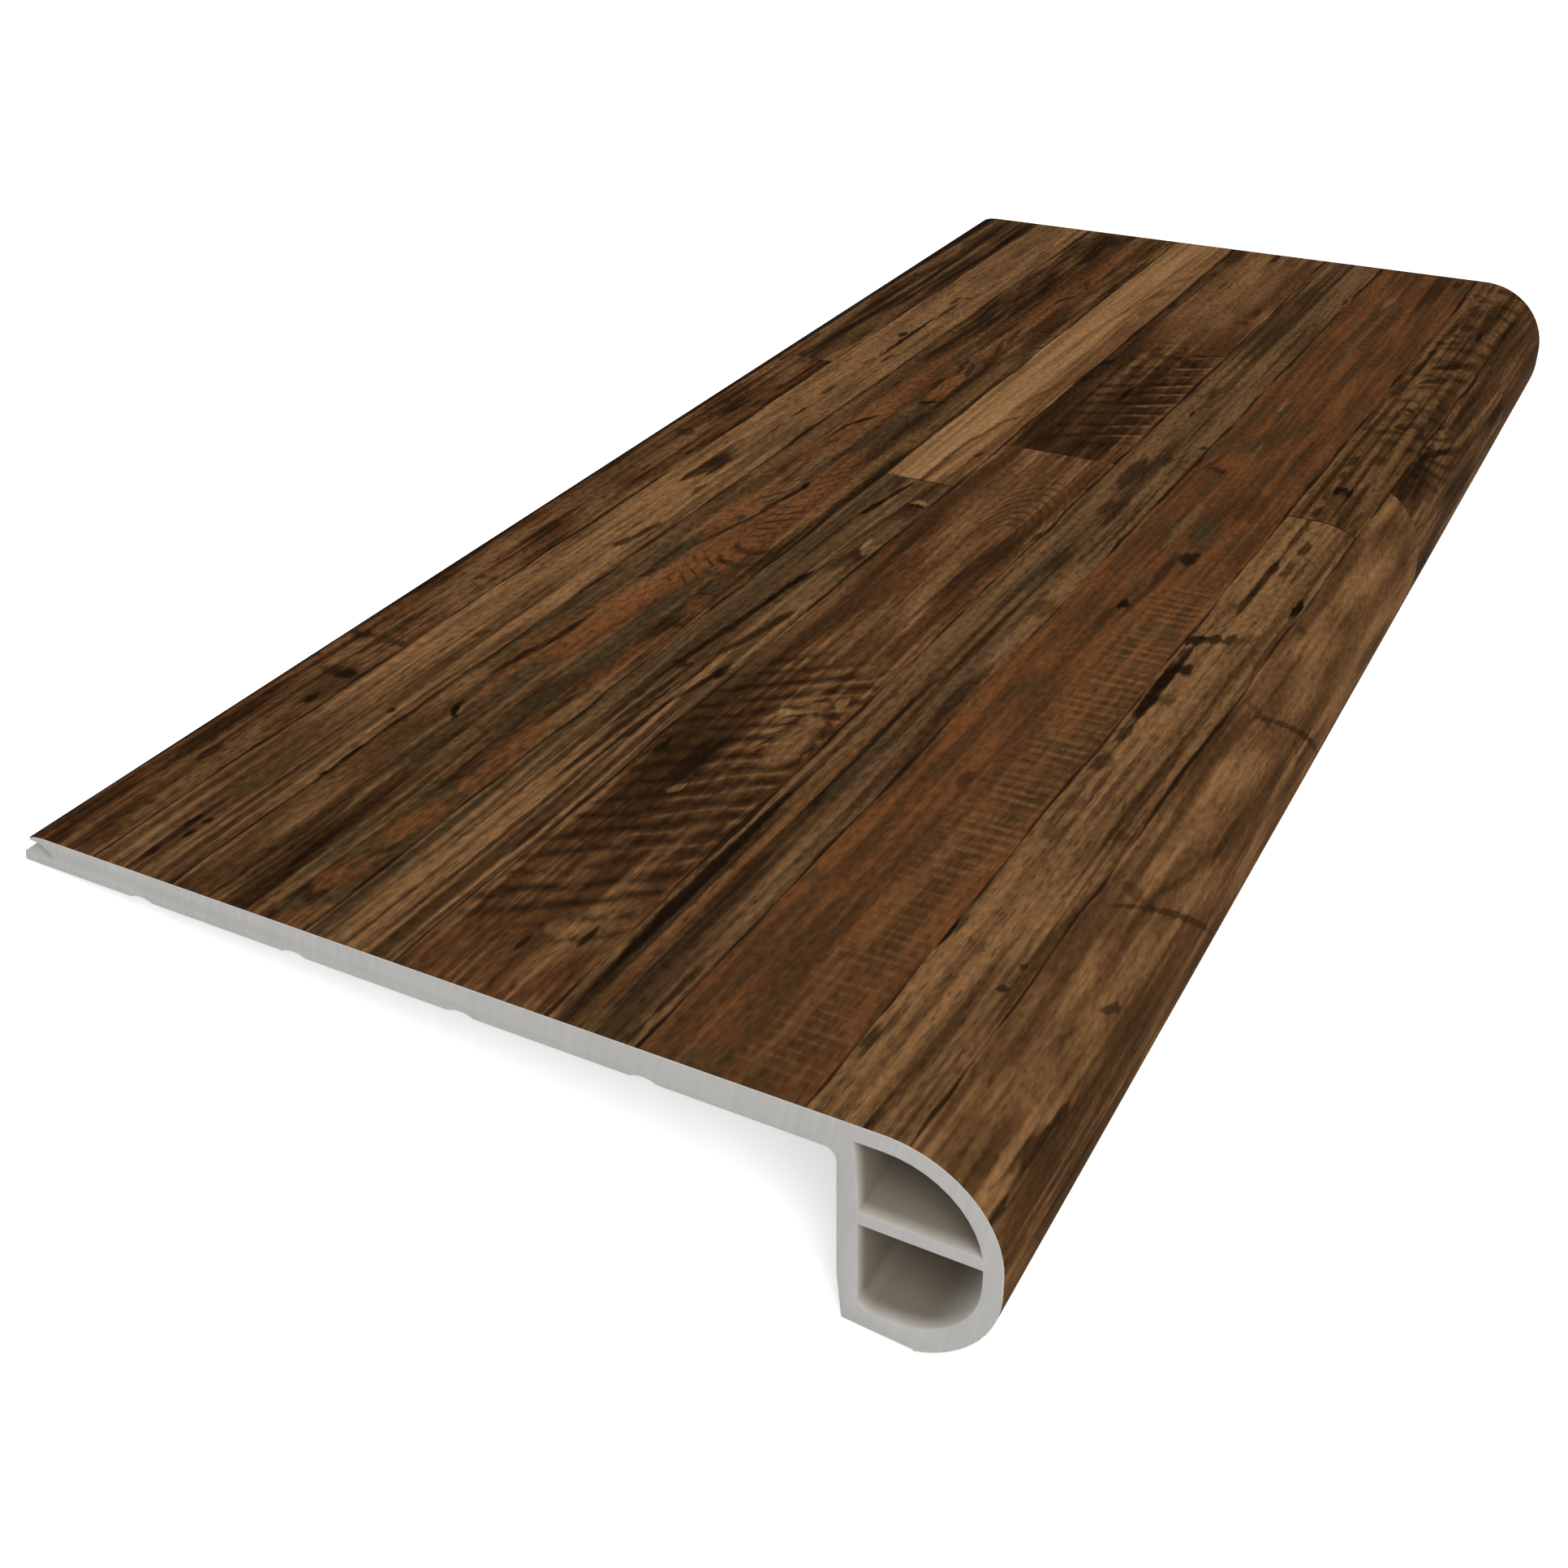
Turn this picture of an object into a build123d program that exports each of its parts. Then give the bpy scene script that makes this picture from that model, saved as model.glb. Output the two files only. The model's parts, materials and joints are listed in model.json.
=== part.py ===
"""Flush stair nosing: a hollow-nosed extruded PVC stair profile with a laminated wood-print film.

The section is drawn level, as it sits on a stair: X runs from the back edge to the front of the nose,
Z is up, and the top face is at z = 0. The length runs along Y. The finished piece is then leaned back
so that it lies on a floor as it does unheld: on the corner of its lower lip and the corner of its leg.
"""
from build123d import *
from math import atan2, cos, degrees, radians, sin, sqrt, tan
import os

# Overall sizes, in millimetres
length = 610.0              # cut length of the piece
depth = 265.0               # tip of the upper lip to the front of the nose
board_thickness = 8.7       # top face to underside, flush with the plank beside it
film_thickness = 0.4        # printed film with its wear layer

# Nose, outside
nose_radius = 27.5          # both round stretches of the front, measured on the film
front_flat = 5.0            # straight stretch between them
lower_sweep = 73.0          # degrees of the lower round stretch, from the front downwards
nose_depth = 38.0           # front of the nose to the back of the leg
bottom_slope = 4.4          # degrees that the flat bottom rises towards the leg
leg_taper = 1.2             # how far the leg thins at its foot
leg_taper_height = 13.0     # height of that taper
root_radius = 3.0           # fillet between the underside and the leg

# Nose, inside
front_wall = 4.8            # wall round the upper chamber and along the front
leg_wall = 5.0              # wall between the leg's back and the chambers
leg_wall_top = 3.8          # the same wall where it meets the board
web_drop = 24.1             # top face to the top of the web
web_thickness = 3.4         # web between the two chambers
bottom_wall = 5.5           # flat bottom to the floor of the lower chamber
lower_chamber_radius = 20.4  # large round of the lower chamber, at the front
lower_chamber_corner = 3.0  # small round of the lower chamber, at the leg

# Back edge: the eased top and the click groove
ease_radius = 16.0          # rounding of the top face at the back edge
ease_drop = 1.0             # how far that rounding falls at the tip
lip_thickness = 0.8         # upper lip at its tip, film included
lip_slope = 6.0             # degrees that the lip's underside falls inwards
lip_straight = 3.3          # length of that underside
groove_depth = 6.6          # tip of the upper lip to the end of the groove
groove_floor = 5.7          # top face to the floor of the groove
groove_end_height = 1.3     # height of the groove's end wall
groove_end_radius = 0.5     # rounding of that end
lower_lip_reach = 3.5       # how far the lower lip passes the upper one, at its foot
lower_lip_slant = 0.7       # how far its end leans back towards the top
lower_lip_round = 0.5       # rounding of its upper corner

# Shallow relief grooves along the underside
relief_first = 36.0         # tip of the upper lip to the middle of the first groove
relief_pitch = 48.2
relief_width = 7.0
relief_depth = 0.9


def polar(centre, radius, angle):
    """The point at an angle in degrees round a centre."""
    return (centre[0] + radius * cos(radians(angle)), centre[1] + radius * sin(radians(angle)))


# Places that several features share
ease_run = sqrt(ease_drop * (2 * ease_radius - ease_drop))
ease_centre = (ease_run, -ease_radius)
ease_angle = degrees(atan2(ease_radius - ease_drop, -ease_run))
upper_centre = (depth - nose_radius, -nose_radius)
lower_centre = (depth - nose_radius, -nose_radius - front_flat)
leg_back = depth - nose_depth
foot_x = leg_back + leg_taper
core_end = polar(lower_centre, nose_radius - film_thickness, -lower_sweep)
foot = (foot_x, core_end[1] + (core_end[0] - foot_x) * tan(radians(bottom_slope)))
lower_lip_foot = (-lower_lip_reach, -board_thickness)


def arc(centre, radius, start, end):
    """A round stretch between two angles in degrees."""
    middle = polar(centre, radius, (start + end) / 2)
    return ThreePointArc(polar(centre, radius, start), middle, polar(centre, radius, end))


def printed_line(inset):
    """The printed side of the section, from the back tip to the end of the lower nose curve."""
    nose = nose_radius - inset
    ease = arc(ease_centre, ease_radius - inset, ease_angle, 90)
    upper = arc(upper_centre, nose, 90, 0)
    lower = arc(lower_centre, nose, 0, -lower_sweep)
    return [ease, Line(ease @ 1, upper @ 0), upper, Line(upper @ 1, lower @ 0), lower]


def film_section():
    """The film: a strip of even thickness along the printed side."""
    outside = printed_line(0)
    inside = printed_line(film_thickness)
    back_edge = Line(inside[0] @ 0, outside[0] @ 0)
    front_edge = Line(outside[-1] @ 1, inside[-1] @ 1)
    return make_face(outside + inside + [back_edge, front_edge])


def core_outline():
    """The outside of the extruded core, before its hollows and relief grooves."""
    printed = printed_line(film_thickness)
    tip = printed[0] @ 0
    lip_base = -ease_drop - lip_thickness
    mouth = (tip.X, lip_base)
    lip_inner = (lip_straight, lip_base - (lip_straight - tip.X) * tan(radians(lip_slope)))
    groove_end = (groove_depth, -groove_floor + groove_end_height)
    edges = printed + [
        Polyline(
            printed[-1] @ 1,
            foot,
            (leg_back, foot[1] + leg_taper_height),
            (leg_back, -board_thickness),
            lower_lip_foot,
            (-lower_lip_reach + lower_lip_slant, -groove_floor),
            (groove_depth, -groove_floor),
            groove_end,
            lip_inner,
            mouth,
            tip,
        )
    ]
    outline = make_face(edges)
    outline = fillet(corner(outline, (leg_back, -board_thickness)), root_radius)
    outline = fillet(corner(outline, (groove_depth, -groove_floor)), groove_end_radius)
    outline = fillet(corner(outline, groove_end), groove_end_radius)
    return fillet(corner(outline, (-lower_lip_reach + lower_lip_slant, -groove_floor)), lower_lip_round)


def corner(face, place):
    """The corner of a section that is nearest to a place."""
    return face.vertices().sort_by_distance((place[0], place[1], 0))[0]


def upper_chamber():
    """The hollow over the web: a bowed wall at the leg, and a roof that follows the round of the nose."""
    back = leg_back + leg_wall
    front = depth - front_wall
    roof = -front_wall
    floor = -web_drop
    back_top = (leg_back + leg_wall_top, roof)
    bowed_wall = Bezier((back, floor), (back, (roof + floor) / 2), back_top)
    block = make_face([bowed_wall, Polyline(back_top, (front, roof), (front, floor), (back, floor))])
    inside_radius = nose_radius - front_wall
    quarter = Rectangle(inside_radius, inside_radius, align=(Align.MIN, Align.MIN))
    return block - Pos(*upper_centre) * (quarter - Circle(inside_radius))


def lower_chamber():
    """The hollow under the web, with a large round at the front and a small one at the leg."""
    back = leg_back + leg_wall
    front = depth - front_wall
    roof = -web_drop - web_thickness
    floor = foot[1] - (lower_centre[0] - foot_x) * tan(radians(bottom_slope)) + bottom_wall
    front_round = min(lower_chamber_radius, front - back - lower_chamber_corner, roof - floor)
    outline = make_face(Polyline((back, roof), (front, roof), (front, floor), (back, floor), close=True))
    outline = fillet(corner(outline, (front, floor)), front_round)
    return fillet(corner(outline, (back, floor)), lower_chamber_corner)


def relief_grooves():
    """Round-bottomed shallow grooves, evenly spaced along the underside."""
    radius = (relief_width**2 / 4 + relief_depth**2) / (2 * relief_depth)
    middle = -board_thickness + relief_depth - radius
    room = leg_back - root_radius - relief_width / 2 - relief_first
    count = int(room // relief_pitch) + 1
    return [Pos(relief_first + i * relief_pitch, middle) * Circle(radius) for i in range(count)]


def extruded(section):
    """A section drawn in X and Z, run along Y about the middle of the length."""
    return extrude(Plane.XZ * section, length / 2, both=True)


# The section's hollows and grooves are cut before it is extruded
core_section = core_outline() - upper_chamber() - lower_chamber() - relief_grooves()
core = extruded(core_section)
film = extruded(film_section())

# Lean: the line from the lower lip's corner to the leg's corner becomes level
lean = degrees(atan2(lower_lip_foot[1] - foot[1], foot[0] - lower_lip_foot[0]))
leaned_core = Rot(0, -lean, 0) * core
leaned_film = Rot(0, -lean, 0) * film
box = leaned_core.bounding_box().add(leaned_film.bounding_box())
place = Pos(-box.center().X, -box.center().Y, -box.min.Z)

os.makedirs("parts", exist_ok=True)
export_step(place * leaned_core, "parts/core_profile.step")
export_step(place * leaned_film, "parts/decor_film.step")
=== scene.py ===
"""Looks of the flush stair nosing: the printed film, the sawn grey core, the studio and the camera.

Sizes are millimetres in the board's own level frame, as it sits on a stair: X runs from the back tip
to the nose, Y along the length from the near end, and Z is up from the top face. LEVEL carries that
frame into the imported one, where the board leans on the corners of its lower lip and its leg.
"""
from dataclasses import dataclass, field
from math import acos, atan, atan2, ceil, cos, hypot, pi, radians, sin
import json

import bmesh
import bpy
from mathutils import Matrix, Vector


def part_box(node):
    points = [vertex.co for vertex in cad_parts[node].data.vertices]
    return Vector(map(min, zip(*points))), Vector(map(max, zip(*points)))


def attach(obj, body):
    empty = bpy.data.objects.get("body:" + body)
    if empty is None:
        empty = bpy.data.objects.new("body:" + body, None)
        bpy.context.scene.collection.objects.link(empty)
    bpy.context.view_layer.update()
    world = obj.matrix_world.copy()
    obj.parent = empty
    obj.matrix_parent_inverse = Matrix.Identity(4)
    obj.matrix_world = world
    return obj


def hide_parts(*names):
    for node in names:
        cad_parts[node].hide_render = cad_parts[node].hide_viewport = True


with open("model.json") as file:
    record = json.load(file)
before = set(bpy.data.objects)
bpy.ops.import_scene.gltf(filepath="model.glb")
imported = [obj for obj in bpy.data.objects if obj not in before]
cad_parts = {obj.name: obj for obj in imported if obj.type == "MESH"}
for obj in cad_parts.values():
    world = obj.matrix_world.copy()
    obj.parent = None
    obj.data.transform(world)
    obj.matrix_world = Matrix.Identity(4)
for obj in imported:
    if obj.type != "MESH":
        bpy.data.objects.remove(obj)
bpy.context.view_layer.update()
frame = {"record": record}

MM = 0.001

# The section's printed side and its chambers, as in the CAD
DEPTH = 265.0
NOSE_RADIUS = 27.5
FRONT_FLAT = 5.0
LOWER_SWEEP = radians(73.0)
EASE_RADIUS = 16.0
EASE_DROP = 1.0
FILM = 0.4
CHAMBER_BACK = 230.0
CHAMBER_FLOOR = -55.5
CHAMBER_DEPTH = 3.0
LENGTH = (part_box("decor_film")[1][1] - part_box("decor_film")[0][1]) / MM

# What the solids leave out: the film's skin lies a little deeper, and edges are rounded
SKIN_INSET = 0.05
EDGE_BREAK = 0.15
MOUTH_ROUND = 0.7

# Angles between faces: flat, sharp enough to round, still smooth, and square at a chamber's mouth
FLAT_ANGLE = radians(0.5)
SHARP_ANGLE = radians(25)
SMOOTH_ANGLE = radians(28)
MOUTH_ANGLE = radians(60)

# Steps of the film's mesh
ROW_STEP = 10.0
COLUMN_STEP = 2.5

# Painted shade in the chambers: the way the walls it darkens face, how far a wall turns to it, and where
# it sets in from a mouth
PAINTED_SHADE_SIDE = (0.5, 0.0, 0.87)
PAINTED_SHADE_TURN = (-0.4, 0.5)
PAINTED_SHADE_FADE = (-2.4, 4.8)

# Distances along the printed side, from the back tip, at which its stretches end
EASE_SWEEP = acos(1 - EASE_DROP / EASE_RADIUS)
EASE_RUN = EASE_RADIUS * sin(EASE_SWEEP)
EASE_END = EASE_RADIUS * EASE_SWEEP
TOP_END = EASE_END + DEPTH - NOSE_RADIUS - EASE_RUN
UPPER_END = TOP_END + NOSE_RADIUS * pi / 2
FRONT_END = UPPER_END + FRONT_FLAT
PRINT_END = FRONT_END + NOSE_RADIUS * LOWER_SWEEP

# The tread seat is a known point of the section, so its mount gives the lean and the place
SEAT = next(mount for mount in frame["record"]["mounts"] if mount["name"] == "tread_seat")
SEAT_IN_LEVEL = Vector((108.3, LENGTH / 2, -8.7))
LEAN = atan2(SEAT["axis"][0], -SEAT["axis"][2])
LEVEL = (
    Matrix.Translation(SEAT["pos_m"])
    @ Matrix.Rotation(-LEAN, 4, "Y")
    @ Matrix.Scale(MM, 4)
    @ Matrix.Translation(-SEAT_IN_LEVEL)
)

# The photograph's camera, in the level frame
CAMERA_PLACE = Vector((356.0, -254.7, 260.2))
CAMERA_FORWARD = Vector((-0.40654, 0.74126, -0.53410))
CAMERA_RIGHT = Vector((0.88099, 0.47293, -0.01422))
CAMERA_LENS = 43.28
SENSOR = 36.0

# The print is laid a little askew: over the length its strips drift and spread towards the nose
PRINT_DRIFT = 4.5
PRINT_SPREAD = 0.045
STRIP_EDGES = (0.0, 22.0, 47.5, 89.0, 115.0, 156.0, 180.0, 220.0, 243.5, 297.0, PRINT_END)

# Clouds of the print: size along and across the grain, detail, and a seed of its own
SWAY_CLOUD = (120, 26, 1, 3)
MOTTLE_CLOUD = (45, 8, 2, 37)
JITTER_CLOUD = (8, 2.4, 3, 5)
FLECK_CLOUD = (7, 0.8, 2, 97)
SPECK_CLOUD = (3.4, 1.5, 2, 83)
BREAK_CLOUD = (5, 4, 1, 51)
WEAR_CLOUD = (28, 300, 1, 71)

# Clouds whose size along the grain comes from the plank or the bars
STREAK_CLOUD = (2.2, 2, 11)
BAND_CLOUD = (8, 1, 23)
BAND_RUN = 4
WOBBLE_CLOUD = (40, 1, 61)
WOBBLE_RUN = 1.5
SEED_STEP = 7.3

# Bare wood: the spread of its tones, its flecks and its shade
CONTRAST = 1.3
RAMP_ENDS = (0.05, 0.95)
FLECK_RANGE = (0.55, 0.75)
SHADE = 0.78
STREAK_SHADE = 0.5

# Marks: softer ones are patches under the bars, and steep ones keep a clean edge
MARKS_IN_A_SHADER = 20
MARK_EDGE = 1.4
MARK_REACH = 1.5
MARK_MARGIN = 15
INK_SPREAD = 0.25
JITTER = (6, 1.7, 0)
RUN_OUT = 0.6
PATCH = 0.7
STEEP = 0.75

# Bars: how they waver, break up and fade at their ends
BAR_MARGIN = 10
BAR_WOBBLE = 0.7
BAR_BREAKS = 3.0
BAR_SPREAD = 0.8
BAR_LEAST = -1.0
BAR_FADE_ACROSS = 2
BAR_FADE_ALONG = 6

# Rings: the width of their lines, and how they fade
RING_LINE = (0.2, 0.45)
RING_FADE_IN = 3
RING_FADE_OUT = 0.6
RING_FADE_ACROSS = 0.7
RING_FADE_ALONG = 8

# Lines between planks, along their sides and at their joints
SEAM_WEAR = 2.6
SEAM_OFFSET = 1.4
SEAM_LINE = (0.75, 0.1, 0.85)
JOINT_LINE = (1.3, 0.3)
NO_JOINT = -10

# Relief of the surfaces, and the PVC's lines and clouds
BUMP_HEIGHT = 0.0001
ROUGHNESS_SPREAD = 0.2
PVC_CLOUDS = 60.0
LINE_WEIGHT = 1.2
CLOUD_WEIGHT = 0.8

# The studio
WHITE = (1, 1, 1, 1)
FLOOR_PAINT = (0.86, 0.86, 0.86, 1)
FLOOR_GLOW = 0.52
SKY_STRENGTH = 0.5

# Colours of the print, as 0 to 255 on screen
TONES = {
    "soot": (26, 17, 9),
    "umber": (44, 29, 16),
    "bark": (60, 41, 23),
    "walnut": (74, 51, 30),
    "olive": (89, 66, 42),
    "chestnut": (80, 55, 32),
    "russet": (88, 56, 32),
    "brown": (94, 65, 39),
    "copper": (103, 65, 36),
    "ginger": (116, 73, 42),
    "oak": (108, 78, 49),
    "moss": (66, 54, 35),
    "tan": (124, 90, 57),
    "straw": (133, 97, 62),
    "honey": (148, 111, 73),
}


def linear(rgb):
    """A colour on screen, 0 to 255, as the linear colour that a shader takes."""
    parts = (value / 255 for value in rgb)
    return tuple(p / 12.92 if p <= 0.04045 else ((p + 0.055) / 1.055) ** 2.4 for p in parts) + (1.0,)


def printed_point(s, inset=0.0):
    """X and Z at a distance s along the printed side, at a depth under its surface."""
    nose = NOSE_RADIUS - inset
    if s < EASE_END:
        angle = EASE_SWEEP - s / EASE_RADIUS
        ease = EASE_RADIUS - inset
        return EASE_RUN - ease * sin(angle), ease * cos(angle) - EASE_RADIUS
    if s < TOP_END:
        return EASE_RUN + s - EASE_END, -inset
    if s < UPPER_END:
        angle = (s - TOP_END) / NOSE_RADIUS
        return DEPTH - NOSE_RADIUS + nose * sin(angle), nose * cos(angle) - NOSE_RADIUS
    if s < FRONT_END:
        return DEPTH - inset, UPPER_END - NOSE_RADIUS - s
    angle = (s - FRONT_END) / NOSE_RADIUS
    return DEPTH - NOSE_RADIUS + nose * cos(angle), -NOSE_RADIUS - FRONT_FLAT - nose * sin(angle)


def depth_under_print(x, z):
    """How far a point of the section lies under the printed side."""
    from_middle = x - DEPTH + NOSE_RADIUS
    if from_middle < 0:
        return -z
    if z > -NOSE_RADIUS:
        return NOSE_RADIUS - hypot(from_middle, z + NOSE_RADIUS)
    return NOSE_RADIUS - hypot(from_middle, min(z + NOSE_RADIUS + FRONT_FLAT, 0))


def across_board(y, p):
    """The distance along the printed side at which a line of the print lies."""
    return p + (PRINT_DRIFT + PRINT_SPREAD * p) * y / LENGTH


def across_print(y, s):
    """The line of the print that lies at a distance along the printed side."""
    share = y / LENGTH
    return (s - PRINT_DRIFT * share) / (1 + PRINT_SPREAD * share)


@dataclass
class Mark:
    """A dark or light mark of the print: a soft ellipse at a place on the board, in millimetres."""

    tone: str
    y: float
    s: float
    half_along: float
    half_across: float
    strength: float = 0.5
    slope: float = 0.0
    soft: float = 0.5


@dataclass
class Bars:
    """Saw marks or chatter across the grain: evenly spaced bars inside a region of the board."""

    start: float
    end: float
    top: float
    bottom: float
    pitch: float
    drift: float
    width: float
    tone: str
    strength: float
    phase: float = 0.0


@dataclass
class Rings:
    """Nested arcs of the grain about a place on the board."""

    y: float
    s: float
    stretch: float
    spacing: float
    inner: float
    outer: float
    half_across: float
    side: int
    tone: str
    strength: float


@dataclass
class Plank:
    """One stretch of one printed strip: its bare wood, and what is printed on it."""

    strip: int
    start: float
    end: float
    tones: tuple
    speck: float = 1.1
    fleck: float = 0.55
    streak: float = 1.3
    band: float = 0.9
    mottle: float = 0.9
    sway: float = 4.0
    run: float = 80.0
    joint: float = 0.3
    bars: tuple = ()
    rings: tuple = ()
    marks: dict = field(default_factory=dict)

    def printed_marks(self):
        """Its marks in the order of printing: tone by tone, each from its row of numbers."""
        return [Mark(tone, *row) for tone, rows in self.marks.items() for row in rows]


# A row of marks holds y, s and the half sizes, then its own strength, slope and softness
BACK_NEAR = Plank(0, 0, 394, ("umber", "russet", "oak"), speck=1.3, fleck=0.75, streak=1.1, mottle=1.7)
BACK_NEAR.marks = {
    "bark": [
        (50, 12, 75, 14, 0.3, 0, 1), (20, 14.5, 24, 2.4), (96, 17, 13, 6, 0.75), (124, 12, 2, 11, 0.6),
        (123.5, 1, 1.6, 1.6), (119, 18, 3, 1), (166, 20, 9, 1.3, 0.55), (262, 10, 42, 5.5, 0.4),
        (285, 7, 14, 1), (340, 5, 14, 0.7), (345, 9, 60, 1.2, 0.4), (322, 16, 5, 1),
    ],
    "copper": [(350, 20.5, 4.5, 2, 0.6)],
    "oak": [(30, 18.5, 16, 2, 0.45)],
    "umber": [
        (18, 5.5, 14, 1.3, 0.7), (60, 7, 20, 1.7, 0.75), (3, 8.6, 4, 1.1, 0.7), (9, 19, 4, 1),
        (72, 18, 5, 1), (90, 12.2, 34, 0.7), (102, 15, 2.6, 7, 0.6), (102.5, 13, 3, 2, 0.7),
        (124, 19.5, 1.8, 1.8, 0.7), (117, 6, 5, 0.8), (133, 6.2, 4, 0.6), (130, 13, 18, 1.5, 0.7),
        (140, 19, 4, 1.1, 0.7), (147, 19.5, 3, 1), (170, 9.2, 2, 0.6, 0.7), (171, 15.5, 2.2, 0.9, 0.7),
        (214, 13, 15, 1.2, 0.7), (304, 11, 3, 4, 0.7), (323, 10, 2.4, 0.8, 0.7), (337, 10, 4.5, 0.9, 0.8),
        (389, 5.8, 3.4, 1.3, 0.7), (371, 21.3, 3, 0.7, 0.55),
    ],
    "soot": [
        (72, 8, 6, 0.8), (51, 13, 5, 1.1, 0.75), (85.5, 18.3, 3.2, 1.4, 0.9), (102, 18.5, 2.6, 2.4, 0.9),
        (124, 6.5, 2, 3.2, 0.7), (287, 22.3, 2.5, 0.9, 0.6),
    ],
}
BACK_FAR = Plank(0, 394, LENGTH, ("umber", "walnut", "oak"))
BACK_FAR.marks = {
    "oak": [(430, 19.5, 34, 1.6), (465, 22, 22, 1.5), (545, 10.5, 9, 1, 0.6), (470, 6, 14, 0.6, 0.3)],
    "umber": [(512, 8.5, 3, 1.5, 0.6), (570, 9, 14, 1, 0.7)],
    "soot": [
        (425, 13.5, 32, 1.9, 0.75), (480, 15.5, 40, 2, 0.7), (560, 14, 50, 1.6, 0.7),
        (424, 22.8, 16, 1.4, 0.7), (520, 25, 60, 1.1, 0.7), (585, 24.5, 24, 1.4, 0.7),
        (548, 8.5, 10, 0.6, 0.6),
    ],
}
SECOND = Plank(1, 0, LENGTH, ("walnut", "oak", "straw"), speck=1.1, streak=1.3, mottle=0.9)
SECOND.marks = {
    "olive": [(330, 41, 50, 5, 0.35, 0, 1), (520, 40, 16, 2.5, 0.4)],
    "moss": [(55, 35, 3.5, 2.5, 0.45), (42, 33.5, 3, 2.5, 0.4)],
    "bark": [
        (30, 43, 18, 0.6, 0.6), (120, 40.6, 36, 0.5), (20, 45.4, 22, 0.5, 0.4), (125, 34, 1.7, 0.6, 0.7),
        (139, 38.2, 2, 0.7, 0.8), (184, 29.3, 2, 0.5), (227, 38.2, 2, 0.6), (300, 33.2, 8, 0.9, 0.55),
        (270, 34, 7, 1.2, 0.65, 0.3), (281, 38.3, 6, 1.4, 0.8), (240, 46.3, 60, 0.5, 0.4),
        (402, 38.3, 3, 0.7), (411, 45.2, 2, 0.5, 0.6), (497, 42.7, 2, 0.5, 0.6), (480, 44.6, 25, 0.4),
        (494, 33, 5, 0.6, 0.5, -0.1), (515, 33.5, 8, 0.5, 0.45), (560, 38.6, 8, 0.6, 0.55),
    ],
    "walnut": [
        (40, 36, 60, 16, 0.55, 0, 1), (66, 29.5, 14, 3.8, 0.65), (435, 46.9, 20, 0.5, 0.6),
        (513, 46, 8, 0.9, 0.6), (570, 46.8, 12, 0.6, 0.6),
    ],
    "copper": [(395, 33.2, 62, 0.9)],
    "tan": [(160, 30, 70, 7, 0.3, 0, 1), (560, 30, 40, 4, 0.3)],
    "straw": [(460, 38, 170, 18, 0.5, 0, 1)],
    "umber": [
        (50, 39.7, 34, 0.5, 0.7), (90.5, 43, 1.7, 0.9, 0.8), (212.5, 41.4, 5, 1.7, 0.85, 0.2),
        (222, 43.3, 7, 1.1, 0.85, 0.1), (229, 44.9, 2.8, 0.9, 0.6), (280, 32.3, 16, 0.7, 0.7),
        (283, 35.2, 12, 3, 0.7), (275, 33.3, 14, 1, 0.7, 0.06), (260, 41.5, 4.5, 0.7, 0.7),
        (322, 39, 6, 0.6, 0.75), (341, 39.3, 6, 0.6, 0.8), (365, 38.8, 6, 0.8, 0.75),
        (407, 43.6, 4.5, 0.7, 0.75), (485, 38.8, 6, 0.7, 0.8), (490.5, 42.7, 1.8, 0.9, 0.8),
    ],
    "soot": [
        (14, 33.2, 22, 1.1, 0.75), (23.5, 33.1, 3, 1, 0.95), (8, 33.3, 3.2, 1, 0.7),
        (18.8, 36.2, 1.5, 0.8, 0.85), (24.5, 36.3, 1.6, 0.7, 0.9), (67.5, 47.7, 5.5, 0.6, 1),
        (56, 47.6, 2, 0.6, 0.9), (86, 47.9, 5, 0.5, 0.7), (285, 35.5, 6, 1.8, 0.6),
        (435.5, 37, 3.6, 1.2, 0.9), (437, 40.2, 22, 0.8, 0.9), (470, 41.4, 14, 0.7, 0.75),
    ],
    "honey": [(290, 49, 25, 0.6, 0.35), (378, 32.2, 30, 0.5, 0.45)],
}
THIRD = Plank(
    2, 0, LENGTH, ("umber", "chestnut", "oak"), speck=1.4, streak=1.2, mottle=1.5, sway=8.0,
    bars=(
        Bars(194, 218, 67.5, 80, 5.2, -11, 0.5, "umber", 0.9),
        Bars(234, 264, 74.5, 84.5, 7, 9, 0.6, "umber", 0.95),
        Bars(266, 306, 75, 84, 6.8, 14, 0.5, "umber", 0.6),
        Bars(134, 170, 53, 59, 4.5, 2, 0.6, "umber", 0.6),
        Bars(424, 468, 90, 96, 8, 6, 0.5, "umber", 0.7),
    ),
    rings=(
        Rings(410, 56, 3.0, 6.0, 6, 40, 6, -1, "umber", 0.5),
        Rings(238, 81.5, 1.6, 9.5, 8, 42, 7.5, -1, "umber", 0.75),
    ),
)
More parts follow.
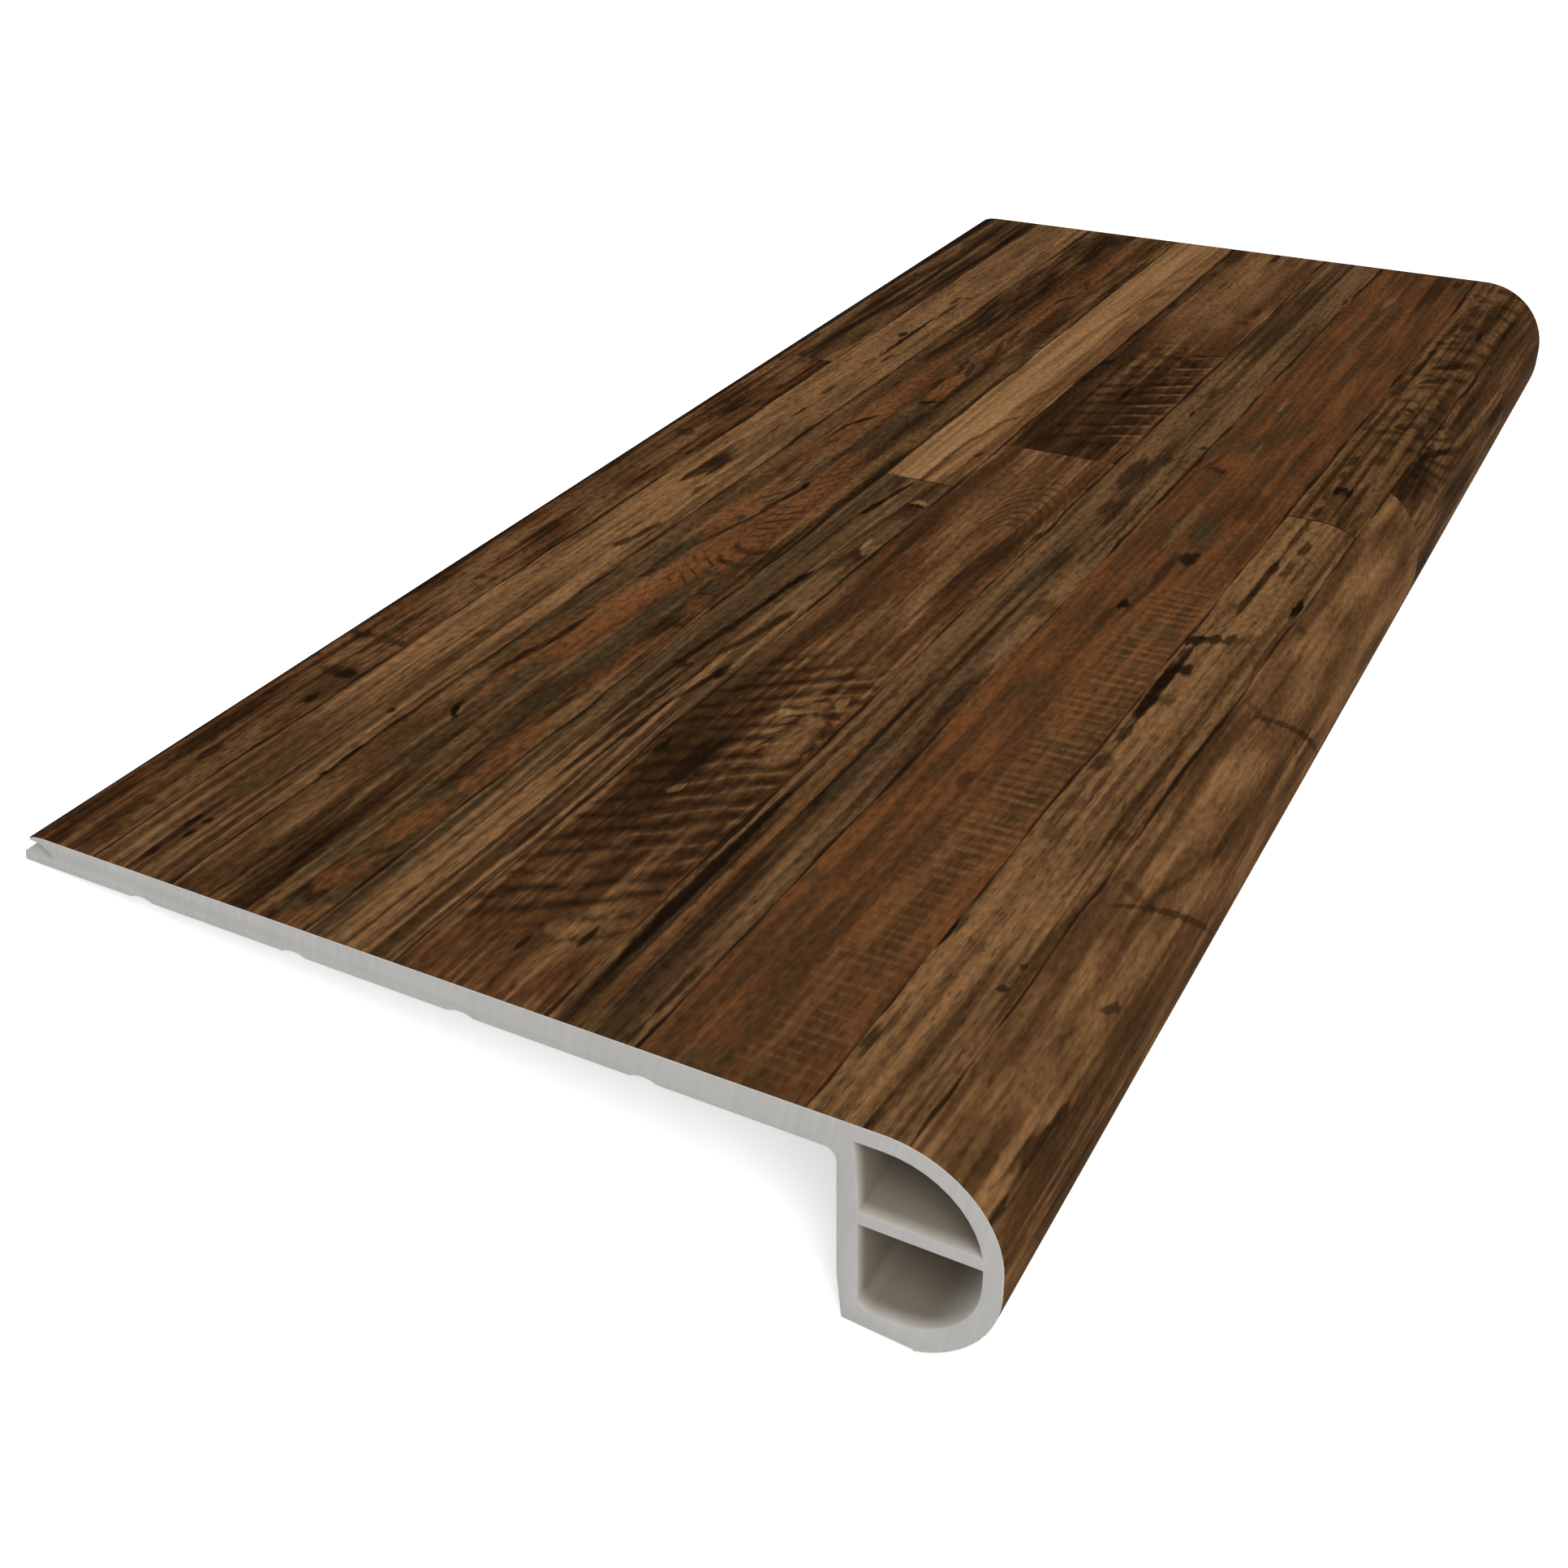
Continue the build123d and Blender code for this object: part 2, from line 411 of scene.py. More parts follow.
THIRD.marks = {
    "olive": [(240, 54, 25, 3), (350, 55, 60, 3, 0.4), (395, 57, 14, 3.5), (360, 88, 70, 3, 0.4)],
    "bark": [(108, 57, 8, 1, 0.5, -0.2), (145, 88, 16, 0.6), (312, 62.5, 12, 0.8, 0.55, 0.12)],
    "brown": [(50, 54, 62, 5, 0.6, 0, 0.9)],
    "copper": [
        (20, 80.7, 6, 2.6, 0.75), (27, 82.6, 7, 2.6, 0.75), (46, 82.2, 7.5, 3.1, 0.75),
        (56, 84.6, 9, 2.8, 0.75), (86, 84.5, 20, 4, 0.6), (3, 83.5, 5, 3.5, 0.65), (140, 84.5, 22, 2.6),
        (120, 60.5, 14, 4, 0.45), (150, 54, 14, 2.4, 0.55), (184, 85.5, 7, 2), (160, 87.5, 9, 1.6, 0.45),
        (180, 91.3, 32, 0.6, 0.7), (303, 61.3, 12, 1.4), (430, 77.3, 28, 1.6),
        (520, 81, 95, 9, 0.55, 0, 0.9), (495, 76.8, 28, 1.2, 0.55), (575, 80.5, 30, 2, 0.45),
        (470, 79, 10, 1.2), (530, 85, 14, 0.8, 0.4, 0.2),
    ],
    "ginger": [
        (163, 65.5, 36, 6, 0.85, 0.05, 0.8), (205, 69, 45, 6, 0.75, 0, 0.9),
        (255, 63, 24, 4.5, 0.75, 0.15, 0.8), (268, 79, 50, 8, 0.75, 0, 0.9), (215, 77, 26, 7, 0.8, 0, 0.9),
        (365, 65, 70, 7, 0.65, 0, 0.9), (388, 78.5, 14, 3, 0.7),
    ],
    "moss": [
        (32, 74.6, 18, 1.7, 0.85), (82, 62, 22, 3.2, 0.55), (76, 70.5, 9, 2, 0.55),
        (105, 76.5, 18, 2.4, 0.6), (60, 77, 14, 1, 0.6), (122, 65, 14, 3.5, 0.75),
        (130, 51.5, 10, 2.2, 0.6), (145, 77.5, 20, 4, 0.65), (152, 51, 10, 1.5), (112, 56.5, 6, 1, 0.6),
        (6.5, 79, 3, 2.2, 0.85), (11, 84, 5, 1.5, 0.9, 0.9), (15, 87.3, 3, 1.2, 0.8),
        (33.5, 79.5, 3, 2.6, 0.85), (28, 82.7, 4, 1.2, 0.8), (38, 86.8, 5, 1.5, 0.85, 0.4),
        (64.5, 81.5, 4.5, 1.5, 0.85), (63, 86, 3, 2.2, 0.8), (58, 79.3, 6, 0.8, 0.6, 0.2),
        (122, 84.5, 7, 1.2, 0.6, 0.3), (185, 53.5, 32, 3.5, 0.6), (212, 60, 16, 4, 0.65),
        (246, 66.6, 3.2, 1.3, 0.95), (291, 71, 11, 1.6, 0.6), (262, 69.3, 6, 1, 0.7), (300, 70, 10, 1.8),
        (175, 77, 26, 3, 0.75), (205, 83, 14, 1.5, 0.4), (199, 84.2, 6, 1.6, 0.8), (178, 84, 3, 1.2, 0.6),
        (345, 77.3, 18, 3.4, 0.75), (322, 74, 10, 1.6, 0.6), (363, 80.5, 5, 3, 0.6),
        (420, 70.5, 10, 3, 0.65), (526, 81.5, 4, 1.5, 0.75), (440, 92.3, 24, 1),
    ],
    "oak": [(45, 53.5, 14, 2, 0.4), (295, 57, 18, 1.2, 0.35)],
    "umber": [
        (18, 67, 52, 5, 0.8, 0, 0.8), (45, 60.3, 45, 0.7), (12.5, 79, 3, 0.9, 0.8),
        (13, 82.8, 2.5, 0.8, 0.8, 0.3), (35, 84.5, 4, 0.8, 0.7, 0.3), (70, 80.4, 10, 0.7, 0.7, 0.12),
        (60, 74.3, 14, 0.7, 0.6, -0.05), (90, 74, 16, 0.6, 0.5, 0.06), (113, 83.3, 6, 0.9, 0.6),
        (240, 68, 16, 0.7, 0.8, 0.2), (258, 71, 5, 0.7, 0.8), (268, 67.5, 8, 0.6, 0.6, 0.5),
        (164, 84.5, 9, 0.7, 0.7, 0.15), (170.5, 87, 2.4, 1.6, 0.75, 1), (192, 84.6, 1.2, 2.4, 0.75),
        (196, 82, 5, 0.7, 0.7), (330, 61.2, 6, 0.7, 0.85, 0.1), (312, 72.8, 8, 1, 0.55, 0.2),
        (390, 83.2, 19, 0.8, 0.9), (409, 79, 9, 0.8, 0.8, -0.25), (388, 73.6, 7, 0.9, 0.75, -0.1),
        (455, 68, 40, 4, 0.4, 0, 0.8), (440, 78.6, 9, 0.7, 0.8, -0.25), (452, 79.5, 10, 0.9, 0.75, -0.1),
        (520, 67.5, 80, 5, 0.2, 0, 0.9), (575, 74, 30, 1.2, 0.6), (508, 81, 6, 0.9, 0.8, 0.3),
        (530, 82.5, 6, 0.8, 0.7, -0.3), (552, 85, 8, 0.8, 0.6), (480, 84, 20, 1.5),
    ],
    "soot": [
        (27, 68.3, 9, 1.2, 0.7), (98.5, 59, 4.2, 0.8, 1, -0.4), (130, 56.3, 10, 0.9, 0.8, 0.12),
        (152, 60, 14, 0.8, 0.9, 0.04), (270, 72.6, 10, 0.8, 0.9, 0.17), (279, 73.6, 3.4, 0.9, 1),
        (196, 60.5, 4, 0.7, 0.6, 0.3), (205, 59.5, 5, 0.8, 0.55), (214, 60.3, 4, 0.6, 0.6),
        (342, 64.2, 7, 0.8, 0.9, 0.4), (368.5, 76.8, 2, 1.5, 0.85), (371, 80, 2.8, 1, 0.85, 1.2),
        (411, 74.8, 10, 0.8, 0.7, -0.15), (445, 73.3, 22, 1.6, 0.65), (470, 63.5, 22, 1, 0.55),
        (515, 68, 5, 1, 0.75), (470, 72, 35, 1.2, 0.4), (570, 69, 14, 1.2, 0.6),
    ],
}
FOURTH_NEAR = Plank(
    3, 0, 301, ("bark", "olive", "tan"), speck=1.1, streak=1.7, mottle=0.5, sway=5, run=130,
)
FOURTH_NEAR.marks = {
    "olive": [(225, 103, 80, 11, 0.45, 0, 1)],
    "moss": [(160, 94.5, 130, 2.2, 0.45), (222, 108.5, 12, 1, 0.6, 0.15)],
    "bark": [
        (45, 110.5, 60, 2.6, 0.65), (40, 101.7, 40, 0.5), (130, 99.2, 4, 1.2, 0.75), (292, 114, 5, 3),
    ],
    "copper": [(170, 107.6, 20, 0.8, 0.4)],
    "oak": [(108, 113.2, 10, 1), (205, 113, 18, 1.6, 0.6), (262, 114, 12, 3, 0.45)],
    "umber": [
        (48, 106.7, 50, 0.7, 0.75), (100, 113, 20, 0.7), (90, 99, 55, 0.5, 0.7), (20, 104.7, 24, 0.5, 0.6),
        (150.5, 101.5, 1.8, 2.2, 0.8), (172, 110.2, 16, 1.3, 0.9, 0.2), (188, 113.4, 6, 1.8, 0.85, 0.3),
        (247, 99.8, 18, 0.6, 0.75), (295, 101.5, 8, 1, 0.6), (262, 109.8, 26, 0.7, 0.7, 0.08),
        (233, 112.5, 8, 3, 0.55, 0.2), (238, 114.5, 5, 2, 0.7), (276, 114.5, 7, 3, 0.55),
    ],
    "soot": [
        (58, 113.3, 10, 0.7, 0.65), (110, 104.9, 28, 0.7, 0.75, 0.04), (142, 107, 16, 0.8, 0.8, 0.07),
        (115, 108.3, 24, 0.8, 0.85, 0.05), (140, 111.3, 12, 0.8, 0.85, 0.15), (150, 114, 2.2, 1.6, 0.8),
        (127, 102.5, 14, 0.7, 0.75, 0.05), (175, 102.2, 28, 0.8, 0.85, 0.08),
        (205, 104.8, 10, 0.7, 0.8, 0.08), (214, 105.8, 7, 0.8, 1, 0.13), (152, 113.5, 3, 1.5, 0.8),
        (274, 102.3, 8, 1, 0.95, 0.14), (291, 104.8, 12, 0.8, 0.95, 0.1), (281, 115.3, 1.6, 2.4, 0.7),
    ],
    "tan": [(30, 99.7, 40, 0.7), (70, 105.6, 70, 0.6, 0.55), (243, 116, 4, 1.2, 0.7, 0.3)],
    "honey": [(246.5, 113.4, 4, 0.6, 0.7), (284, 115.5, 1.3, 2.4, 0.7)],
}
FOURTH_FAR = Plank(
    3, 301, LENGTH, ("oak", "straw", "honey"),
    speck=0.8, fleck=0.15, streak=1.1, mottle=0.6, joint=0.8, run=110,
)
FOURTH_FAR.marks = {
    "moss": [(308, 118, 8, 1.2, 0.6, -0.15)],
    "bark": [(318, 107.4, 22, 0.7, 0.75)],
    "walnut": [(330, 115.3, 34, 0.6, 0.6)],
    "brown": [
        (450, 117.5, 150, 4, 0.5, 0, 0.9), (478, 117.5, 12, 2, 0.75), (508, 117, 10, 2, 0.75),
        (533, 116.5, 7, 2, 0.75, 0.3), (555, 117.5, 8, 1.6, 0.7, 0.4), (600, 119.5, 10, 1, 0.6),
    ],
    "russet": [
        (350, 109.7, 15, 0.7, 0.9, 0.12), (366.5, 113, 7, 0.7, 0.85, 0.45), (305, 113.5, 7, 1.5, 0.6),
        (404, 115.3, 12, 0.6, 0.85, 0.2), (527, 112.6, 30, 0.5, 0.7, 0.1), (500, 109, 30, 0.4, 0.5, 0.04),
    ],
    "copper": [
        (335, 110.5, 28, 1.2, 0.55, 0.05), (345, 118, 36, 1, 0.6), (388, 113, 18, 1.6, 0.65, 0.14),
        (420, 119, 50, 1.2), (440, 104.5, 34, 0.5, 0.55, 0.03), (470, 107, 40, 0.5, 0.4),
        (580, 118.5, 16, 1.4, 0.55, 0.1),
    ],
    "tan": [(543, 115.8, 8, 1.2, 0.6)],
    "umber": [(331, 116, 1.7, 0.7, 0.85)],
    "honey": [(540, 113, 26, 0.5, 0.5, 0.08)],
}
FIFTH_NEAR = Plank(
    4, 0, 344, ("bark", "russet", "tan"), streak=0.9, mottle=1.0,
    bars=(
        Bars(60, 172, 136, 157, 9.3, 17, 0.4, "tan", 0.6, 0.87),
        Bars(24, 174, 117, 157, 9.3, 32, 0.85, "soot", 0.75),
    ),
    rings=(
        Rings(112, 149, 2.0, 4.4, 5, 44, 9, 1, "umber", 0.7),
        Rings(262, 149, 3.4, 5.5, 14, 80, 14, 1, "bark", 0.6),
    ),
)
FIFTH_NEAR.marks = {
    "bark": [
        (85, 136, 62, 26, 0.65, 0, 0.9), (80, 145, 22, 8, 0.4), (160, 140, 16, 12, 0.5, 0, 0.9),
        (290, 123.5, 40, 2.2, 0.55),
    ],
    "walnut": [(28, 130, 40, 16, 0.45, 0, 1), (190, 140, 26, 8, 0.4)],
    "russet": [(240, 141, 28, 8, 0.5, 0, 0.9)],
    "oak": [(172, 152, 8, 2.4), (195, 120.5, 40, 3, 0.4)],
    "tan": [
        (35, 149, 16, 7, 0.5, 0, 0.9), (28, 143, 3, 4, 0.6), (124, 150.5, 11, 4.2, 0.7, 0, 0.6),
        (145, 147, 4, 1.5, 0.7, 0.7), (138, 150, 3, 3, 0.7, 1), (78, 117.6, 14, 1, 0.55),
        (92, 134, 2.5, 1, 0.7, 0.5), (300, 138, 36, 14, 0.35, 0, 0.9),
    ],
    "umber": [
        (88, 128, 36, 9, 0.7, 0, 0.9), (25, 120, 3.5, 1, 0.7), (32, 119.5, 3, 1, 0.7),
        (248, 151, 26, 5, 0.55, 0, 0.9), (262, 153, 10, 2.5), (225, 150, 14, 3, 0.4), (262, 126, 14, 0.6),
    ],
    "soot": [
        (106, 131.5, 12, 4, 0.75, 0, 0.8), (109, 119.8, 3.6, 0.9, 0.95), (20, 137, 2.6, 0.6, 0.8),
        (28, 149, 4, 0.6, 0.85), (276, 160, 3.5, 0.7, 0.8), (323, 161.8, 5, 0.6, 0.8),
    ],
    "honey": [(139.5, 140.5, 2.4, 1.8, 0.75, 0.6), (150, 153, 3, 1.5, 0.6)],
}
FIFTH_FAR = Plank(
    4, 344, LENGTH, ("bark", "russet", "tan"), streak=0.9, mottle=1.0, joint=0.0,
    bars=(
        Bars(356, 474, 130, 163, 11.3, 18, 0.75, "soot", 0.7, 0.46),
        Bars(366, 468, 150, 163, 11.3, 7, 0.4, "tan", 0.65, -0.3),
    ),
)
FIFTH_FAR.marks = {
    "bark": [(555, 136, 6, 1), (510, 158, 2.5, 4, 0.6)],
    "russet": [(480, 155, 14, 5, 0.4)],
    "tan": [(510, 150, 12, 3), (560, 155, 30, 2.5, 0.4)],
    "straw": [(545, 142, 75, 18, 0.45, 0, 0.9)],
    "umber": [
        (388, 140, 72, 26, 0.65, 0, 0.8), (480, 124.5, 120, 3.2, 0.7), (598, 128.5, 14, 2.6, 0.7),
        (458, 140, 3.5, 5, 0.6, 0.6), (464, 150, 2, 6), (525, 160, 6, 1.2, 0.7),
    ],
    "soot": [
        (350, 142, 14, 26, 0.4, 0, 0.8), (412, 142.7, 8, 0.9, 1), (404.5, 142, 3, 1, 0.7),
        (441, 124.3, 4.5, 1.3, 0.9, 0.2), (421, 123.6, 4, 0.7, 0.7), (520, 125, 5, 1.2, 0.7),
        (569, 127.5, 4, 1, 0.6), (455, 152, 3, 6, 0.6, 1), (604, 146, 6, 0.8, 0.8),
    ],
}
SIXTH = Plank(5, 0, LENGTH, ("bark", "olive", "oak"), streak=1.4, run=120)
SIXTH.marks = {
    "moss": [
        (125, 171, 22, 1.6, 0.6), (250, 170, 14, 2.5, 0.45), (380, 171, 10, 1.2, 0.6), (480, 173, 8, 1.2),
    ],
    "bark": [(145, 179.5, 16, 1.2, 0.6)],
    "walnut": [(229, 181.8, 5.5, 5, 0.85, 0, 0.35)],
    "copper": [(80, 166, 95, 1.2)],
    "oak": [(370, 167.5, 90, 1.6, 0.45)],
    "tan": [
        (75, 176, 60, 2.6, 0.35), (205, 181.5, 24, 3), (250, 180.5, 14, 3, 0.45), (455, 178.5, 20, 1.2),
    ],
    "umber": [
        (12, 160, 18, 2.8, 0.6), (75, 170, 60, 2.4), (130, 161.9, 40, 0.8, 0.6), (30, 171.5, 44, 3.4, 0.6),
        (66, 169.5, 12, 1.1, 0.75), (110, 179, 14, 0.6, 0.5, -0.05), (165, 170.3, 22, 0.7, 0.65, 0.05),
        (168, 179.8, 20, 1, 0.7), (205, 172.5, 18, 0.6), (262, 172.5, 8, 1.5), (285, 182.6, 22, 0.6, 0.6),
        (306, 176.5, 12, 2, 0.6), (340, 170.3, 15, 2.8, 0.8, 0, 0.4), (308, 172.4, 6, 1.6, 0.6),
        (356, 178.3, 4, 0.8, 0.7), (372, 185.5, 2.4, 0.9, 0.75), (352, 182, 14, 0.7, 0.65, -0.04),
        (315, 182.8, 22, 0.6), (520, 171, 60, 3, 0.55), (555, 173, 14, 3), (490, 184, 30, 0.8, 0.6),
        (570, 178.5, 20, 0.7, 0.6, 0.03),
    ],
    "soot": [
        (55, 161.8, 45, 2, 0.65), (60, 160.4, 40, 1.7, 0.95), (40, 159.6, 14, 1.4, 0.9),
        (104, 169.2, 6, 0.8, 0.65), (135, 169.3, 26, 0.6, 0.6), (20, 177.4, 14, 0.9, 0.85),
        (4, 177, 5, 0.9, 0.8), (402, 171.3, 4, 0.8, 0.9), (425, 172, 8, 1.2, 0.65), (412, 172, 24, 0.6),
        (555, 189.5, 4, 0.8, 0.7), (475, 190.5, 26, 0.6, 0.6),
    ],
}
SEVENTH = Plank(
    6, 0, LENGTH, ("walnut", "russet", "copper"), speck=1.0, fleck=0.35, streak=1.2, mottle=1.6,
    bars=(
        Bars(4, 264, 203, 222, 3.6, 0, 0.6, "oak", 0.45),
        Bars(88, 262, 208, 224, 4.3, 1, 0.6, "tan", 0.45),
    ),
)
SEVENTH.marks = {
    "moss": [
        (2, 193, 8, 4.5, 0.55), (73, 184, 4.5, 1.6, 0.65), (185, 197.3, 6, 1.2, 0.55), (158, 197, 6, 1.2),
        (156, 213, 2.5, 2), (231, 215, 6, 4, 0.35), (226, 222, 4, 1.5), (255, 200.6, 8, 1.4, 0.6, -0.15),
        (296, 206.4, 12, 0.8, 0.6, -0.05), (302, 208.2, 13, 0.9, 0.65), (297, 209.8, 9, 0.7, 0.6),
        (300, 198, 16, 0.8, 0.6, -0.06), (270, 216, 10, 2.5, 0.35), (340, 198, 10, 2.5, 0.4),
        (371, 188.8, 14, 0.9, 0.65, 0.1), (378, 191.4, 15, 1, 0.6, 0.1), (368, 193.4, 9, 0.7, 0.55),
        (379, 197.6, 10, 0.9, 0.65), (384, 199.8, 9, 0.9, 0.65), (377, 201.4, 7, 0.6, 0.6),
        (378, 186, 14, 1.6), (418, 201.5, 12, 1.3, 0.75), (515, 203.5, 20, 1.2), (545, 206, 10, 1.2),
        (485, 205.5, 12, 1), (595, 206, 20, 2), (607, 224, 5, 4, 0.8, -0.7), (594, 231, 5, 2.4, 0.75),
        (597, 225, 3.5, 1, 0.7, -0.5),
    ],
    "copper": [
        (60, 189, 16, 2, 0.3), (289, 205.5, 6, 1.2, 0.7, -0.2), (283, 212, 6, 0.9, 0.6),
        (345, 201.5, 20, 0.9, 0.5, 0.06), (363, 197.5, 9, 4.2, 0.85, 0.35, 0.4),
        (447, 203.5, 16, 1.6, 0.55), (460, 196.5, 30, 1.2), (565, 199, 24, 1),
    ],
    "oak": [
        (50, 205.5, 60, 0.5, 0.35), (80, 207, 30, 0.5, 0.35), (370, 203.3, 14, 0.9, 0.5, -0.04),
        (525, 207.5, 30, 1, 0.45, 0.03),
    ],
    "tan": [(310, 200, 18, 1.3, 0.45), (425, 199.5, 8, 0.6), (563, 206.5, 8, 1.3, 0.55)],
    "umber": [
        (130, 198.4, 5, 1.5, 0.65), (50, 205.3, 2.4, 0.7), (233, 199, 7, 0.7),
        (252, 205, 20, 0.8, 0.55, 0.08), (270, 204.5, 10, 1.5, 0.6), (328, 216, 12, 4.5),
        (355, 196, 2.5, 3.2, 0.75, 0.6), (360, 192.3, 7, 0.8, 0.6, 0.1), (585, 220, 24, 2.4, 0.7),
        (600, 227.5, 4, 1.6, 0.85),
    ],
    "soot": [(243, 202, 3.4, 1.4, 0.95), (282, 209.3, 4.6, 2.3, 0.9)],
}
EIGHTH_NEAR = Plank(7, 0, 328, ("walnut", "oak", "tan"), streak=1.5, mottle=0.8, sway=2.5, run=110)
EIGHTH_NEAR.marks = {
    "bark": [
        (65.5, 231, 1.6, 1, 0.8), (77, 231.3, 1.8, 0.7, 0.8), (47, 228, 2.4, 0.9),
        (120, 239.8, 26, 0.5, 0.6), (135, 241.5, 26, 0.5, 0.6), (130, 243.5, 30, 0.5, 0.55),
        (140, 234, 24, 0.5), (140, 242, 4, 1.5), (238, 241.5, 5, 1.4, 0.5, 0.2), (230, 240, 3, 3, 0.35),
        (290, 243, 9, 0.6, 0.6), (255, 231, 10, 0.5, 0.55),
    ],
    "walnut": [(35, 236, 30, 3, 0.35), (117, 228, 4, 1.8, 0.6), (132, 228, 4, 2, 0.65)],
    "tan": [(60, 229, 40, 3, 0.4), (100, 234, 30, 3, 0.4)],
    "straw": [(285, 237, 46, 12, 0.5, 0, 0.9)],
    "umber": [
        (25, 222.3, 6, 1.3, 0.85), (33, 224.3, 6, 1, 0.6), (72, 223.3, 4, 0.6, 0.6),
        (53.8, 240.6, 2, 0.9, 0.9, 0.4), (63.5, 241.7, 1.8, 0.6, 0.8), (2, 234, 4, 1, 0.6),
        (144, 230.4, 6, 0.8, 0.6), (154, 228, 4, 2.6, 0.65), (124, 243, 3, 2, 0.5, 0.6),
        (193, 232, 4, 2.6, 0.55), (221, 228, 4, 1.6, 0.7), (233, 232.5, 2, 3.4, 0.85),
        (235, 237, 3, 1.3, 0.8, -0.3), (262, 234, 10, 0.7, 0.85), (280, 234.6, 13, 0.9, 0.85),
        (320, 235.3, 16, 0.8, 0.75), (289, 239.2, 6, 0.8, 0.7), (305, 239.7, 5, 0.9, 0.8),
        (290, 248.4, 20, 0.4),
    ],
    "soot": [
        (40, 220.9, 8, 0.7, 0.95), (68, 221.8, 6, 0.6, 0.95), (200, 227.8, 22, 1.8, 0.85),
        (190.5, 228.2, 5, 2, 0.9), (204, 227.6, 8, 1.3, 1), (211.5, 230, 3.2, 2.8, 0.9),
        (183, 227.5, 4, 1.6, 0.75), (170, 227.8, 4.5, 1.2, 0.75), (230.5, 228.3, 3.4, 2.6, 0.9, 0.3),
        (288, 235, 3, 1.2, 0.6), (267.5, 248.3, 6.5, 0.8, 1),
    ],
}
EIGHTH_FAR = Plank(
    7, 328, LENGTH, ("bark", "brown", "oak"), streak=1.6, mottle=0.6, sway=2.5, joint=0.8, run=110,
    bars=(Bars(404, 612, 238, 256, 16.5, 13, 0.7, "soot", 0.65),),
)
EIGHTH_FAR.marks = {
    "bark": [(531, 246, 4, 2, 0.6, 0.8)],
    "oak": [(400, 246.3, 60, 0.7, 0.6), (430, 248.5, 40, 0.5)],
    "umber": [
        (350, 235.2, 8, 0.8, 0.75), (369, 235.5, 4, 1, 0.75), (390, 243.5, 6, 2, 0.6, 0.4),
        (408, 241.5, 4, 1.8, 0.55, 0.5), (447, 246.5, 4, 2.2, 0.6, 0.7), (511, 252, 7, 1, 0.6, 0.4),
        (524, 242, 4, 2, 0.65, 0.7), (545, 242.5, 4, 2, 0.6), (465, 248, 4, 1.8, 0.55),
        (580, 248, 7, 1.6, 0.65, 0.3), (565, 248, 5, 1), (606, 248, 8, 1.5, 0.5, 0.3),
        (417, 233.2, 2.5, 0.8, 0.7), (540, 238.2, 8, 0.6, 0.7), (553, 240, 5, 1.4, 0.6),
        (570, 240, 5, 1.2, 0.65), (588, 238, 4, 1.5),
    ],
    "soot": [
        (335, 235.6, 5, 1.1, 0.8), (383.5, 235.6, 5, 1.1, 0.75), (356, 239.4, 2.8, 2.6, 0.95, 0, 0.4),
        (345, 244, 20, 1.5, 0.65), (338, 248.2, 8, 0.6, 0.6), (424, 243, 3, 2, 0.75, 0.6),
        (430, 247.5, 4, 2.2, 0.6, 0.7), (441.5, 242.3, 3.4, 1.7, 0.8), (479, 244.5, 9, 1.7, 0.75, 0.6),
        (498, 246, 10, 1.9, 0.85, 0.55), (543, 248.4, 5, 0.9, 0.8), (462, 234, 12, 0.9, 0.7),
        (487, 235.5, 8, 1.4, 0.75), (507, 236.3, 4, 1, 0.75), (521, 236.6, 3, 1.6, 0.7),
    ],
    "walnut": [(355, 240, 0.9, 0.9, 0.6)],
}
NOSE_NEAR = Plank(
    8, 0, 372, ("walnut", "brown", "tan"), speck=0.9, fleck=0.4, streak=0.6, band=0.6, mottle=1.5,
)
NOSE_NEAR.marks = {
    "bark": [
        (56, 258.8, 9, 0.7, 0.65, 0.25), (108, 254, 2.2, 6, 0.6), (207, 256, 2, 5, 0.6),
        (175, 250, 14, 3, 0.4), (190, 254, 14, 3, 0.45), (258, 253, 3, 1.2), (285, 263, 8, 1.5, 0.4),
    ],
    "walnut": [(60, 248.5, 70, 3, 0.4), (90, 272, 60, 14, 0.4, 0, 1)],
    "oak": [(30, 255.6, 40, 0.8, 0.4)],
    "tan": [
        (36, 258.6, 11, 2.6), (62, 261, 13, 2.2), (9, 261.2, 10, 1.4, 0.55), (130, 265, 12, 2, 0.4),
        (235, 264, 20, 4, 0.35), (330, 265, 25, 4, 0.3), (300, 275, 40, 5, 0.25),
    ],
    "umber": [
        (6, 258, 9, 1.2, 0.55), (24, 265.8, 10, 1.8, 0.85, 0.1), (73, 264.5, 4.5, 1, 0.7, 0.6),
        (60, 276, 45, 8, 0.6, 0, 0.9), (22, 270, 30, 6, 0.6, 0, 0.9), (125, 262, 10, 0.8, 0.5, 0.25),
        (145, 266, 12, 0.9, 0.5, 0.2), (118, 268, 24, 0.7, 0.7, 0.85), (226, 274, 28, 0.8, 0.7, 0.8),
        (157, 267, 8, 1), (200, 272, 10, 1), (225, 278, 10, 1.2, 0.6),
    ],
    "soot": [(3, 266.3, 5, 1, 0.75), (37, 267.6, 5, 0.9, 0.75), (40, 283, 16, 3, 0.4)],
}
NOSE_MIDDLE = Plank(
    8, 372, 525, ("umber", "walnut", "oak"), joint=0.2,
    rings=(Rings(452, 244, 1.6, 8, 10, 82, 30, -1, "soot", 0.65),),
)
NOSE_MIDDLE.marks = {
    "copper": [(500, 266.5, 40, 0.8, 0.4)],
    "umber": [(440, 272, 30, 4), (480, 262, 40, 4)],
    "soot": [(398, 256.5, 24, 3, 0.6), (402, 257, 10, 1.6, 0.7), (426, 260, 18, 1, 0.9, 0.25)],
}
NOSE_FAR = Plank(8, 525, LENGTH, ("bark", "walnut", "brown"), joint=0.1)
